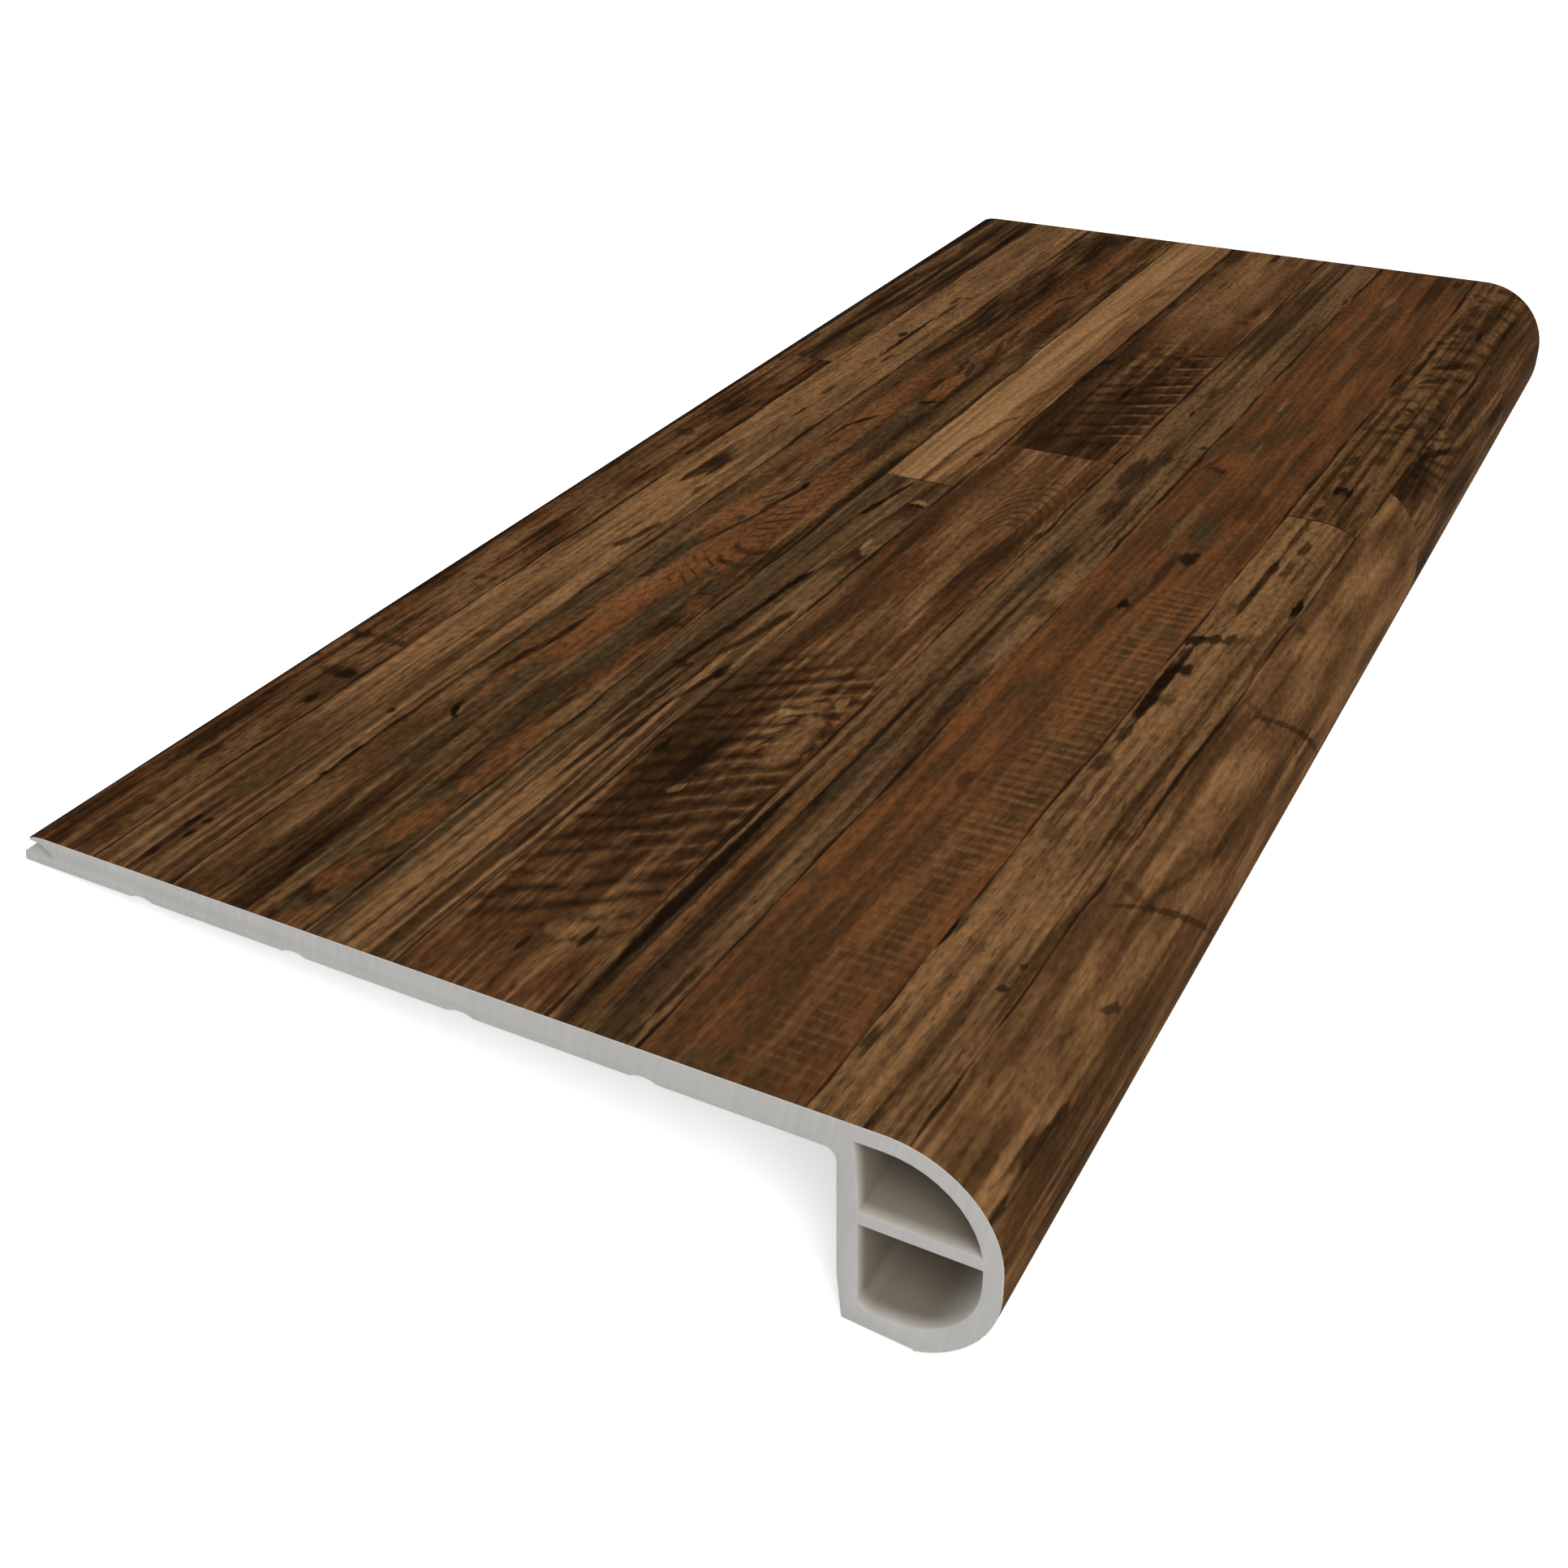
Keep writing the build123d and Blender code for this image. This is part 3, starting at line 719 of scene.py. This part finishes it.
NOSE_FAR.marks = {
    "oak": [(545, 268, 20, 1, 0.4)],
    "umber": [(560, 262, 30, 3, 0.45)],
}
UNDER_NOSE = Plank(9, 0, LENGTH, ("bark", "walnut", "brown"), streak=0.7, mottle=1.3)

PLANKS = (
    BACK_NEAR, BACK_FAR, SECOND, THIRD, FOURTH_NEAR, FOURTH_FAR, FIFTH_NEAR, FIFTH_FAR,
    SIXTH, SEVENTH, EIGHTH_NEAR, EIGHTH_FAR, NOSE_NEAR, NOSE_MIDDLE, NOSE_FAR, UNDER_NOSE,
)


class Nodes:
    """Adds shader nodes to one tree and wires them."""

    def __init__(self, tree):
        self.tree = tree

    def add(self, kind, inputs=None, **settings):
        node = self.tree.nodes.new("ShaderNode" + kind)
        for name, value in settings.items():
            setattr(node, name, value)
        for key, value in (inputs or {}).items():
            self.plug(value, node.inputs[key])
        return node

    def plug(self, value, socket):
        if isinstance(value, bpy.types.NodeSocket):
            self.tree.links.new(value, socket)
        else:
            socket.default_value = value

    def math(self, operation, a, b=0.0, c=0.0):
        return self.add("Math", {0: a, 1: b, 2: c}, operation=operation).outputs[0]

    def product(self, *values):
        total = values[0]
        for value in values[1:]:
            total = self.math("MULTIPLY", total, value)
        return total

    def scaled(self, vector, factor, offset):
        inputs = {0: vector, 1: factor, 2: offset}
        return self.add("VectorMath", inputs, operation="MULTIPLY_ADD").outputs[0]

    def length(self, vector):
        return self.add("VectorMath", {0: vector}, operation="LENGTH").outputs["Value"]

    def step(self, value, none, full, most=1.0):
        """0 at one value, the most at another, smooth between."""
        start, end = (0.0, most) if none < full else (most, 0.0)
        ends = {"Value": value, "From Min": min(none, full), "From Max": max(none, full)}
        ends.update({"To Min": start, "To Max": end})
        return self.add("MapRange", ends, interpolation_type="SMOOTHSTEP").outputs[0]

    def noise(self, place, along, across, detail, own_seed, seed):
        """A cloud of the given size along and across the grain."""
        offset = seed + own_seed
        stretched = self.scaled(place, (1 / along, 1 / across, 0), (offset, 1.7 * offset, 0))
        inputs = {"Vector": stretched, "Scale": 1.0, "Detail": detail}
        return self.add("TexNoise", inputs, noise_dimensions="2D").outputs["Fac"]

    def mix(self, amount, under, over, blend="MIX"):
        node = self.add("Mix", {0: amount, 6: under, 7: over}, data_type="RGBA", blend_type=blend)
        return node.outputs[2]

    def ink(self, colour, mask, tone):
        """A colour with a tone of the print laid over it."""
        return self.mix(mask, colour, linear(TONES[tone]))


def empty_material(name):
    """A material with an empty tree of nodes."""
    material = bpy.data.materials.new(name)
    material.use_nodes = True
    material.node_tree.nodes.clear()
    return material, Nodes(material.node_tree)


def new_material(name):
    """A material, its nodes, and its shader wired to the output."""
    material, nodes = empty_material(name)
    shader = nodes.add("BsdfPrincipled")
    nodes.add("OutputMaterial", {"Surface": shader.outputs[0]})
    return material, nodes, shader


def surface(nodes, shader, colour, height, bump, roughness, specular):
    """Wires a material's colour, and the bump and roughness that follow one cloud."""
    bumped = nodes.add("Bump", {"Strength": bump, "Distance": BUMP_HEIGHT, "Height": height})
    nodes.plug(colour, shader.inputs["Base Color"])
    nodes.plug(bumped.outputs[0], shader.inputs["Normal"])
    nodes.plug(nodes.math("MULTIPLY_ADD", height, ROUGHNESS_SPREAD, roughness), shader.inputs["Roughness"])
    shader.inputs["Specular IOR Level"].default_value = specular


def grain(nodes, place, plank, seed):
    """The plank's bare wood colour, and its streaks."""
    drift = nodes.noise(place, *SWAY_CLOUD, seed)
    wavy = nodes.scaled(drift, (0, plank.sway, 0), place)
    streak = nodes.noise(wavy, plank.run, *STREAK_CLOUD, seed)
    band = nodes.noise(wavy, BAND_RUN * plank.run, *BAND_CLOUD, seed)
    mottle = nodes.noise(place, *MOTTLE_CLOUD, seed)
    layers = ((streak, plank.streak), (band, plank.band), (mottle, plank.mottle))
    tone = 0.5 - 0.5 * CONTRAST * sum(weight for _, weight in layers)
    for layer, weight in layers:
        tone = nodes.math("MULTIPLY_ADD", layer, CONTRAST * weight, tone)
    ramp = nodes.add("ValToRGB", {"Fac": tone})
    stops = ramp.color_ramp.elements
    stops[0].position, stops[1].position = RAMP_ENDS
    stops.new(0.5)
    for stop, name in zip(stops, plank.tones):
        stop.color = linear(TONES[name])
    return ramp.outputs["Color"], streak


def bar_mask(nodes, place, bars, seed):
    """How much of each point the bars cover: each bar with a strength of its own, broken by the grain."""
    top, bottom = (across_print((bars.start + bars.end) / 2, s) for s in (bars.top, bars.bottom))
    along, across, _ = nodes.add("SeparateXYZ", {0: place}).outputs
    lean = bars.drift / (bottom - top)
    shift = nodes.math("MULTIPLY_ADD", across, -lean / bars.pitch, top * lean / bars.pitch + bars.phase)
    turn = nodes.math("MULTIPLY_ADD", along, 1 / bars.pitch, shift)
    wobble = nodes.noise(place, WOBBLE_RUN * bars.pitch, *WOBBLE_CLOUD, seed)
    turn = nodes.math("MULTIPLY_ADD", wobble, BAR_WOBBLE, turn)
    bar = nodes.step(nodes.math("PINGPONG", turn, 0.5), 0.5 - bars.width / 2, 0.5)
    number = nodes.math("FLOOR", turn)
    each = nodes.add("TexWhiteNoise", {"W": number}, noise_dimensions="1D").outputs["Value"]
    broken = nodes.noise(place, *BREAK_CLOUD, seed)
    amount = nodes.math("MULTIPLY_ADD", each, BAR_SPREAD, BAR_LEAST)
    amount = nodes.math("MULTIPLY_ADD", broken, BAR_BREAKS, amount)
    amount = nodes.add("Clamp", {"Value": amount, "Max": 1.0}).outputs[0]
    inside = nodes.product(
        nodes.step(across, top - BAR_FADE_ACROSS, top + BAR_FADE_ACROSS),
        nodes.step(across, bottom + BAR_FADE_ACROSS, bottom - BAR_FADE_ACROSS),
        nodes.step(along, bars.start - BAR_FADE_ALONG, bars.start + BAR_FADE_ALONG),
        nodes.step(along, bars.end + BAR_FADE_ALONG, bars.end - BAR_FADE_ALONG),
    )
    return nodes.product(bar, inside, amount, bars.strength)


def ring_mask(nodes, place, rings):
    """Thin arcs on one side of the middle of the rings."""
    middle = (-rings.y, -rings.stretch * across_print(rings.y, rings.s), 0)
    local = nodes.scaled(place, (1, rings.stretch, 0), middle)
    along, across, _ = nodes.add("SeparateXYZ", {0: local}).outputs
    reach = nodes.length(local)
    wave = nodes.math("PINGPONG", nodes.math("DIVIDE", reach, rings.spacing), 0.5)
    limit = rings.half_across * rings.stretch
    inside = nodes.product(
        nodes.step(reach, rings.inner, rings.inner + RING_FADE_IN),
        nodes.step(reach, rings.outer, RING_FADE_OUT * rings.outer),
        nodes.step(nodes.math("ABSOLUTE", across), limit, RING_FADE_ACROSS * limit),
        nodes.step(along, 0, RING_FADE_ALONG * rings.side),
    )
    return nodes.product(nodes.step(wave, *RING_LINE), inside, rings.strength)


def mark_mask(nodes, place, mark, run_out):
    """How much of each point a mark covers, with an edge that runs out along the grain."""
    middle = (mark.y, across_print(mark.y, mark.s), 0)
    half = (mark.half_along, mark.half_across + INK_SPREAD, 1)
    if mark.slope:
        turned = (0, 0, atan(mark.slope))
        inputs = {"Vector": place, "Location": middle, "Rotation": turned, "Scale": half}
        local = nodes.add("Mapping", inputs, vector_type="TEXTURE").outputs[0]
    else:
        scale = tuple(1 / h for h in half)
        local = nodes.scaled(place, scale, tuple(-m / h for m, h in zip(middle, half)))
    ragged = nodes.math("ADD", nodes.length(local), run_out)
    return nodes.step(ragged, MARK_EDGE, MARK_EDGE - MARK_EDGE * mark.soft, mark.strength)


def edge_mask(nodes, place, plank, seed):
    """The dark line round a plank: broken along its sides, even at its butt joint."""
    top, bottom = STRIP_EDGES[plank.strip], STRIP_EDGES[plank.strip + 1]
    along, across, _ = nodes.add("SeparateXYZ", {0: place}).outputs
    from_top = nodes.math("SUBTRACT", across, top)
    side = nodes.math("MINIMUM", from_top, nodes.math("SUBTRACT", bottom, across))
    worn = nodes.noise(place, *WEAR_CLOUD, seed)
    side = nodes.math("MULTIPLY_ADD", worn, -SEAM_WEAR, nodes.math("ADD", side, SEAM_OFFSET))
    joint = nodes.math("SUBTRACT", along, plank.start if plank.start else NO_JOINT)
    return nodes.math("MAXIMUM", nodes.step(side, *SEAM_LINE), nodes.step(joint, *JOINT_LINE, plank.joint))


def stretches(plank):
    """A plank's materials along its length: each holds few enough marks for one shader."""
    count = max(1, ceil(len(plank.printed_marks()) / MARKS_IN_A_SHADER))
    step = (plank.end - plank.start) / count
    return [(plank.start + i * step, plank.start + (i + 1) * step) for i in range(count)]


def reaches(mark, start, end):
    """Whether a mark reaches into a stretch of a plank, or close to it."""
    reach = MARK_REACH * mark.half_along + MARK_MARGIN
    return start < mark.y + reach and mark.y - reach < end


def wood_print(plank, number, start, end):
    """Printed wood for one stretch of a plank."""
    material, nodes, shader = new_material(f"wood_print_{number + 1:02d}_{start:.0f}")
    seed = SEED_STEP * number + 1
    place = nodes.add("UVMap", uv_map="print_mm").outputs[0]
    colour, streak = grain(nodes, place, plank, seed)
    jitter = nodes.math("SUBTRACT", nodes.noise(place, *JITTER_CLOUD, seed), 0.5)
    ragged = nodes.scaled(jitter, JITTER, place)
    run_out = nodes.math("MULTIPLY_ADD", streak, 2 * RUN_OUT, -RUN_OUT)
    near = [mark for mark in plank.printed_marks() if reaches(mark, start, end)]
    for mark in near:
        if mark.soft > PATCH:
            colour = nodes.ink(colour, mark_mask(nodes, ragged, mark, run_out), mark.tone)
    for bars in plank.bars:
        if start - BAR_MARGIN < bars.end and bars.start < end + BAR_MARGIN:
            colour = nodes.ink(colour, bar_mask(nodes, place, bars, seed), bars.tone)
    for rings in plank.rings:
        colour = nodes.ink(colour, ring_mask(nodes, place, rings), rings.tone)
    for mark in near:
        if mark.soft <= PATCH:
            where = place if abs(mark.slope) > STEEP else ragged
            colour = nodes.ink(colour, mark_mask(nodes, where, mark, run_out), mark.tone)
    fleck = nodes.noise(place, *FLECK_CLOUD, seed)
    colour = nodes.ink(colour, nodes.step(fleck, *FLECK_RANGE, plank.fleck), "umber")
    speck = nodes.noise(place, *SPECK_CLOUD, seed)
    shade = nodes.math("MULTIPLY_ADD", speck, plank.speck, SHADE - 0.5 * plank.speck)
    shade = nodes.math("MULTIPLY_ADD", streak, STREAK_SHADE, shade)
    colour = nodes.mix(1.0, colour, shade, "MULTIPLY")
    colour = nodes.ink(colour, edge_mask(nodes, place, plank, seed), "soot")
    surface(nodes, shader, colour, speck, bump=0.25, roughness=0.42, specular=0.0005)
    return material


def placed(name, data):
    """A new object in the scene."""
    thing = bpy.data.objects.new(name, data)
    bpy.context.collection.objects.link(thing)
    return thing


def rows_along():
    """Places along the length for the film's rows: even steps, and each butt joint of the print."""
    count = round(LENGTH / ROW_STEP)
    even = [LENGTH * i / count for i in range(count + 1)]
    joints = {plank.start for plank in PLANKS} - {0}
    clear = [y for y in even if all(abs(y - joint) > 1 for joint in joints)]
    return sorted(clear + list(joints))


def strip_columns(y):
    """Distances along the printed side for the film's columns at one row, with the strip of each gap."""
    edges = [across_board(y, p) for p in STRIP_EDGES]
    edges[0] = 0.0
    edges[-1] = PRINT_END
    columns = [0.0]
    strips = []
    for strip, (first, last) in enumerate(zip(edges, edges[1:])):
        count = ceil((STRIP_EDGES[strip + 1] - STRIP_EDGES[strip]) / COLUMN_STEP)
        columns += [first + (last - first) * (i + 1) / count for i in range(count)]
        strips += [strip] * count
    return columns, strips


def printed_film():
    """The film with its print: a thin closed sheet whose faces follow the printed planks."""
    rows = rows_along()
    strips = strip_columns(0)[1]
    mesh = bpy.data.meshes.new("printed_film")
    bm = bmesh.new()
    places = {}
    layers = []
    for inset in (SKIN_INSET, FILM):
        grid = []
        for y in rows:
            line = []
            for s in strip_columns(y)[0]:
                x, z = printed_point(s, inset)
                vertex = bm.verts.new(LEVEL @ Vector((x, y, z)))
                places[vertex] = (y, across_print(y, s))
                line.append(vertex)
            grid.append(line)
        layers.append(grid)
    outside, inside = layers

    pieces = [(number, plank, part) for number, plank in enumerate(PLANKS) for part in stretches(plank)]

    def material_at(row, column):
        y = (rows[row] + rows[row + 1]) / 2
        return next(
            i for i, (_, plank, part) in enumerate(pieces)
            if plank.strip == strips[column] and part[0] <= y <= part[1]
        )

    last_row = len(rows) - 1
    last_column = len(strips)
    for row in range(last_row):
        for column in range(last_column):
            corners = ((row, column), (row + 1, column), (row + 1, column + 1), (row, column + 1))
            for grid, order in ((outside, corners), (inside, corners[::-1])):
                face = bm.faces.new([grid[i][j] for i, j in order])
                face.material_index = material_at(row, column)
                face.smooth = True
    for row in range(last_row):
        for column, (a, b) in ((0, (row + 1, row)), (last_column, (row, row + 1))):
            corners = (outside[a][column], outside[b][column], inside[b][column], inside[a][column])
            face = bm.faces.new(corners)
            face.material_index = material_at(row, min(column, last_column - 1))
    for column in range(last_column):
        for row, (a, b) in ((0, (column, column + 1)), (last_row, (column + 1, column))):
            face = bm.faces.new((outside[row][a], outside[row][b], inside[row][b], inside[row][a]))
            face.material_index = len(pieces)
    bmesh.ops.recalc_face_normals(bm, faces=bm.faces)
    for edge in bm.edges:
        edge.smooth = all(f.smooth for f in edge.link_faces)
    uv = bm.loops.layers.uv.new("print_mm")
    for face in bm.faces:
        for loop in face.loops:
            loop[uv].uv = places[loop.vert]
    bm.to_mesh(mesh)
    bm.free()
    for number, plank, part in pieces:
        mesh.materials.append(wood_print(plank, number, *part))
    mesh.materials.append(film_edge())
    film = placed("printed_film", mesh)
    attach(film, "root")
    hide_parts("decor_film")


def pvc(name, tones, place_scale, turn=0.0, inside=None):
    """Grey PVC with a drawn-out texture: its lines are as long and as far apart as the scale says."""
    material, nodes, shader = new_material(name)
    place = nodes.add("TexCoord").outputs["Object"]
    inputs = {"Vector": place, "Rotation": (0, turn, 0), "Scale": place_scale}
    turned = nodes.add("Mapping", inputs).outputs[0]
    lines = nodes.add("TexNoise", {"Vector": turned, "Scale": 1.0, "Detail": 3.0}).outputs["Fac"]
    cloud = nodes.add("TexNoise", {"Vector": place, "Scale": PVC_CLOUDS, "Detail": 3.0}).outputs["Fac"]
    tone = nodes.math("MULTIPLY_ADD", cloud, CLOUD_WEIGHT, 0.5 - (CLOUD_WEIGHT + LINE_WEIGHT) / 2)
    tone = nodes.math("MULTIPLY_ADD", lines, LINE_WEIGHT, tone)
    colour = nodes.mix(tone, linear(tones[0]), linear(tones[1]))
    # Painted shade: walls that face upwards, deeper in than a few millimetres from a mouth, are darkened
    # towards the inside tone
    if inside:
        along = nodes.math("ABSOLUTE", nodes.add("SeparateXYZ", {0: place}).outputs[1])
        to_mouth = nodes.math("SUBTRACT", LENGTH * MM / 2, along)
        normal = nodes.add("NewGeometry").outputs["Normal"]
        facing = nodes.add("VectorMath", {0: normal, 1: PAINTED_SHADE_SIDE}, operation="DOT_PRODUCT")
        painted_shade = nodes.step(facing.outputs["Value"], *PAINTED_SHADE_TURN)
        painted_shade = nodes.product(painted_shade, nodes.step(to_mouth, PAINTED_SHADE_FADE[0] * MM, PAINTED_SHADE_FADE[1] * MM))
        colour = nodes.mix(painted_shade, colour, linear(inside))
    surface(nodes, shader, colour, lines, bump=0.2, roughness=0.45, specular=0.3)
    return material


def sawn_pvc():
    """The cut ends: faint slanting saw lines."""
    return pvc("sawn_pvc", ((163, 161, 157), (180, 178, 174)), (900, 900, 60), radians(18))


def drawn_pvc():
    """The outside as it left the die: faint lines along the length."""
    return pvc("drawn_pvc", ((170, 169, 165), (182, 181, 178)), (900, 4, 900))


def hollow_pvc_painted_light_and_shade():
    """The inside of the chambers: the PVC painted paler than outside, as painted light on their shaded
    walls, with painted shade further in on the walls that face upwards.
    """
    return pvc("hollow_pvc_painted_light_and_shade", ((208, 205, 198), (220, 217, 210)), (700, 4, 700), inside=(126, 117, 103))


def film_edge():
    """The cut edge of the clear wear layer."""
    return pvc("film_edge", ((176, 174, 170), (192, 190, 186)), (900, 900, 60))


def in_chamber(point):
    """Whether a point of the level frame lies on a chamber's wall, or inside it."""
    depth = depth_under_print(point.x, point.z)
    return point.x > CHAMBER_BACK and depth > CHAMBER_DEPTH and point.z > CHAMBER_FLOOR


def is_mouth(edge):
    """Whether an edge runs round the mouth of a chamber, on a cut end."""
    ends = [v.co.y for v in edge.verts]
    on_end = max(ends) - min(ends) < 0.1 and edge.calc_face_angle(0) > MOUTH_ANGLE
    return on_end and all(in_chamber(v.co) for v in edge.verts)


def is_free(edge):
    """Whether an edge is sharp and lies clear of the film."""
    deepest = max(depth_under_print(v.co.x, v.co.z) for v in edge.verts)
    return edge.calc_face_angle(0) > SHARP_ANGLE and deepest > 2 * FILM


def round_edges(bm, edges, radius, segments):
    """Rounds some edges of a mesh."""
    shape = {"profile": 0.5, "affect": "EDGES", "clamp_overlap": True}
    bmesh.ops.bevel(bm, geom=edges, offset=radius, segments=segments, **shape)


def core_piece():
    """The core with its edges broken a little, save where the film lies on it."""
    source = bpy.data.objects["core_profile"]
    mesh = bpy.data.meshes.new("core_soft")
    bm = bmesh.new()
    bm.from_mesh(source.data)
    bm.transform(LEVEL.inverted() @ source.matrix_world)
    bmesh.ops.remove_doubles(bm, verts=bm.verts, dist=0.001)
    bmesh.ops.dissolve_limit(bm, angle_limit=FLAT_ANGLE, verts=bm.verts, edges=bm.edges)
    round_edges(bm, [edge for edge in bm.edges if is_mouth(edge)], MOUTH_ROUND, 4)
    round_edges(bm, [edge for edge in bm.edges if is_free(edge)], EDGE_BREAK, 2)
    for face in bm.faces:
        cut_end = abs(face.normal.y) > 0.5
        # Chamber walls, with the inner half of each mouth's rounding, take the PVC painted paler as
        # painted light, with painted shade further in
        face.material_index = 0 if cut_end else 2 if in_chamber(face.calc_center_median()) else 1
        face.smooth = True
    for edge in bm.edges:
        edge.smooth = edge.calc_face_angle(0) < SMOOTH_ANGLE
    bm.transform(LEVEL)
    bm.to_mesh(mesh)
    bm.free()
    for material in (sawn_pvc(), drawn_pvc(), hollow_pvc_painted_light_and_shade()):
        mesh.materials.append(material)
    core = placed("core_soft", mesh)
    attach(core, "root")
    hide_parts("core_profile")


def light_path_white(nodes, strength):
    """A strength that only the camera, mirrors and glass see, so it lights nothing."""
    path = nodes.add("LightPath").outputs
    seen = nodes.math("MAXIMUM", path["Is Camera Ray"], path["Is Glossy Ray"])
    seen = nodes.math("MAXIMUM", seen, path["Is Transmission Ray"])
    return nodes.math("MULTIPLY", seen, strength)


def pale_floor():
    """The floor's paint: matt and near white, lifted to white for what looks at it."""
    material, nodes = empty_material("pale_floor")
    diffuse = nodes.add("BsdfDiffuse", {"Color": FLOOR_PAINT})
    glow = nodes.add("Emission", {"Color": WHITE, "Strength": light_path_white(nodes, FLOOR_GLOW)})
    total = nodes.add("AddShader", {0: diffuse.outputs[0], 1: glow.outputs[0]})
    nodes.add("OutputMaterial", {"Surface": total.outputs[0]})
    return material


def studio_floor():
    """A pale round floor that sweeps up into a low wall."""
    flat, sweep, wall = 3.0, 1.0, 1.6
    profile = [(0.05, 0.0), (0.5, 0.0), (1.5, 0.0), (flat, 0.0)]
    steps = 12
    for i in range(1, steps + 1):
        angle = pi / 2 * i / steps
        profile.append((flat + sweep * sin(angle), sweep * (1 - cos(angle))))
    profile.append((flat + sweep, sweep + wall))
    sides = 96
    mesh = bpy.data.meshes.new("studio_floor")
    bm = bmesh.new()
    rings = []
    for radius, height in profile:
        turns = [2 * pi * i / sides for i in range(sides)]
        rings.append([bm.verts.new((radius * cos(a), radius * sin(a), height)) for a in turns])
    bm.faces.new(rings[0])
    for lower, upper in zip(rings, rings[1:]):
        for i in range(sides):
            j = (i + 1) % sides
            bm.faces.new((lower[i], lower[j], upper[j], upper[i]))
    for face in bm.faces:
        face.smooth = True
    bmesh.ops.recalc_face_normals(bm, faces=bm.faces)
    bm.to_mesh(mesh)
    bm.free()
    mesh.materials.append(pale_floor())
    floor = placed("studio_floor", mesh)


def soft_box(name, place, size, power):
    """A square lamp that faces the middle of the piece."""
    light = bpy.data.lights.new(name, "AREA")
    light.shape = "SQUARE"
    light.size = size
    light.energy = power
    lamp = placed(name, light)
    lamp.location = place
    lamp.rotation_euler = (-Vector(place)).to_track_quat("-Z", "Y").to_euler()


def studio_light():
    """An even sky and one soft box."""
    world = bpy.data.worlds.new("studio_sky")
    bpy.context.scene.world = world
    world.use_nodes = True
    sky = world.node_tree.nodes["Background"]
    sky.inputs["Color"].default_value = WHITE
    sky.inputs["Strength"].default_value = SKY_STRENGTH
    soft_box("key_light", place=(1.0, -1.8, 2.4), size=1.6, power=60)


def photo_camera():
    """The photograph's camera."""
    data = bpy.data.cameras.new("photo_camera")
    data.sensor_width = SENSOR
    data.lens = CAMERA_LENS
    data.clip_start = 0.01
    right = CAMERA_RIGHT.normalized()
    back = -(CAMERA_FORWARD - CAMERA_FORWARD.project(right)).normalized()
    turn = Matrix((right, back.cross(right), back)).transposed()
    camera = placed("photo_camera", data)
    camera.matrix_world = (
        Matrix.Translation(LEVEL @ CAMERA_PLACE)
        @ Matrix.Rotation(-LEAN, 4, "Y")
        @ turn.to_4x4()
    )
    bpy.context.scene.camera = camera


printed_film()
core_piece()
studio_floor()
studio_light()
photo_camera()
bpy.context.scene.view_settings.view_transform = "Standard"
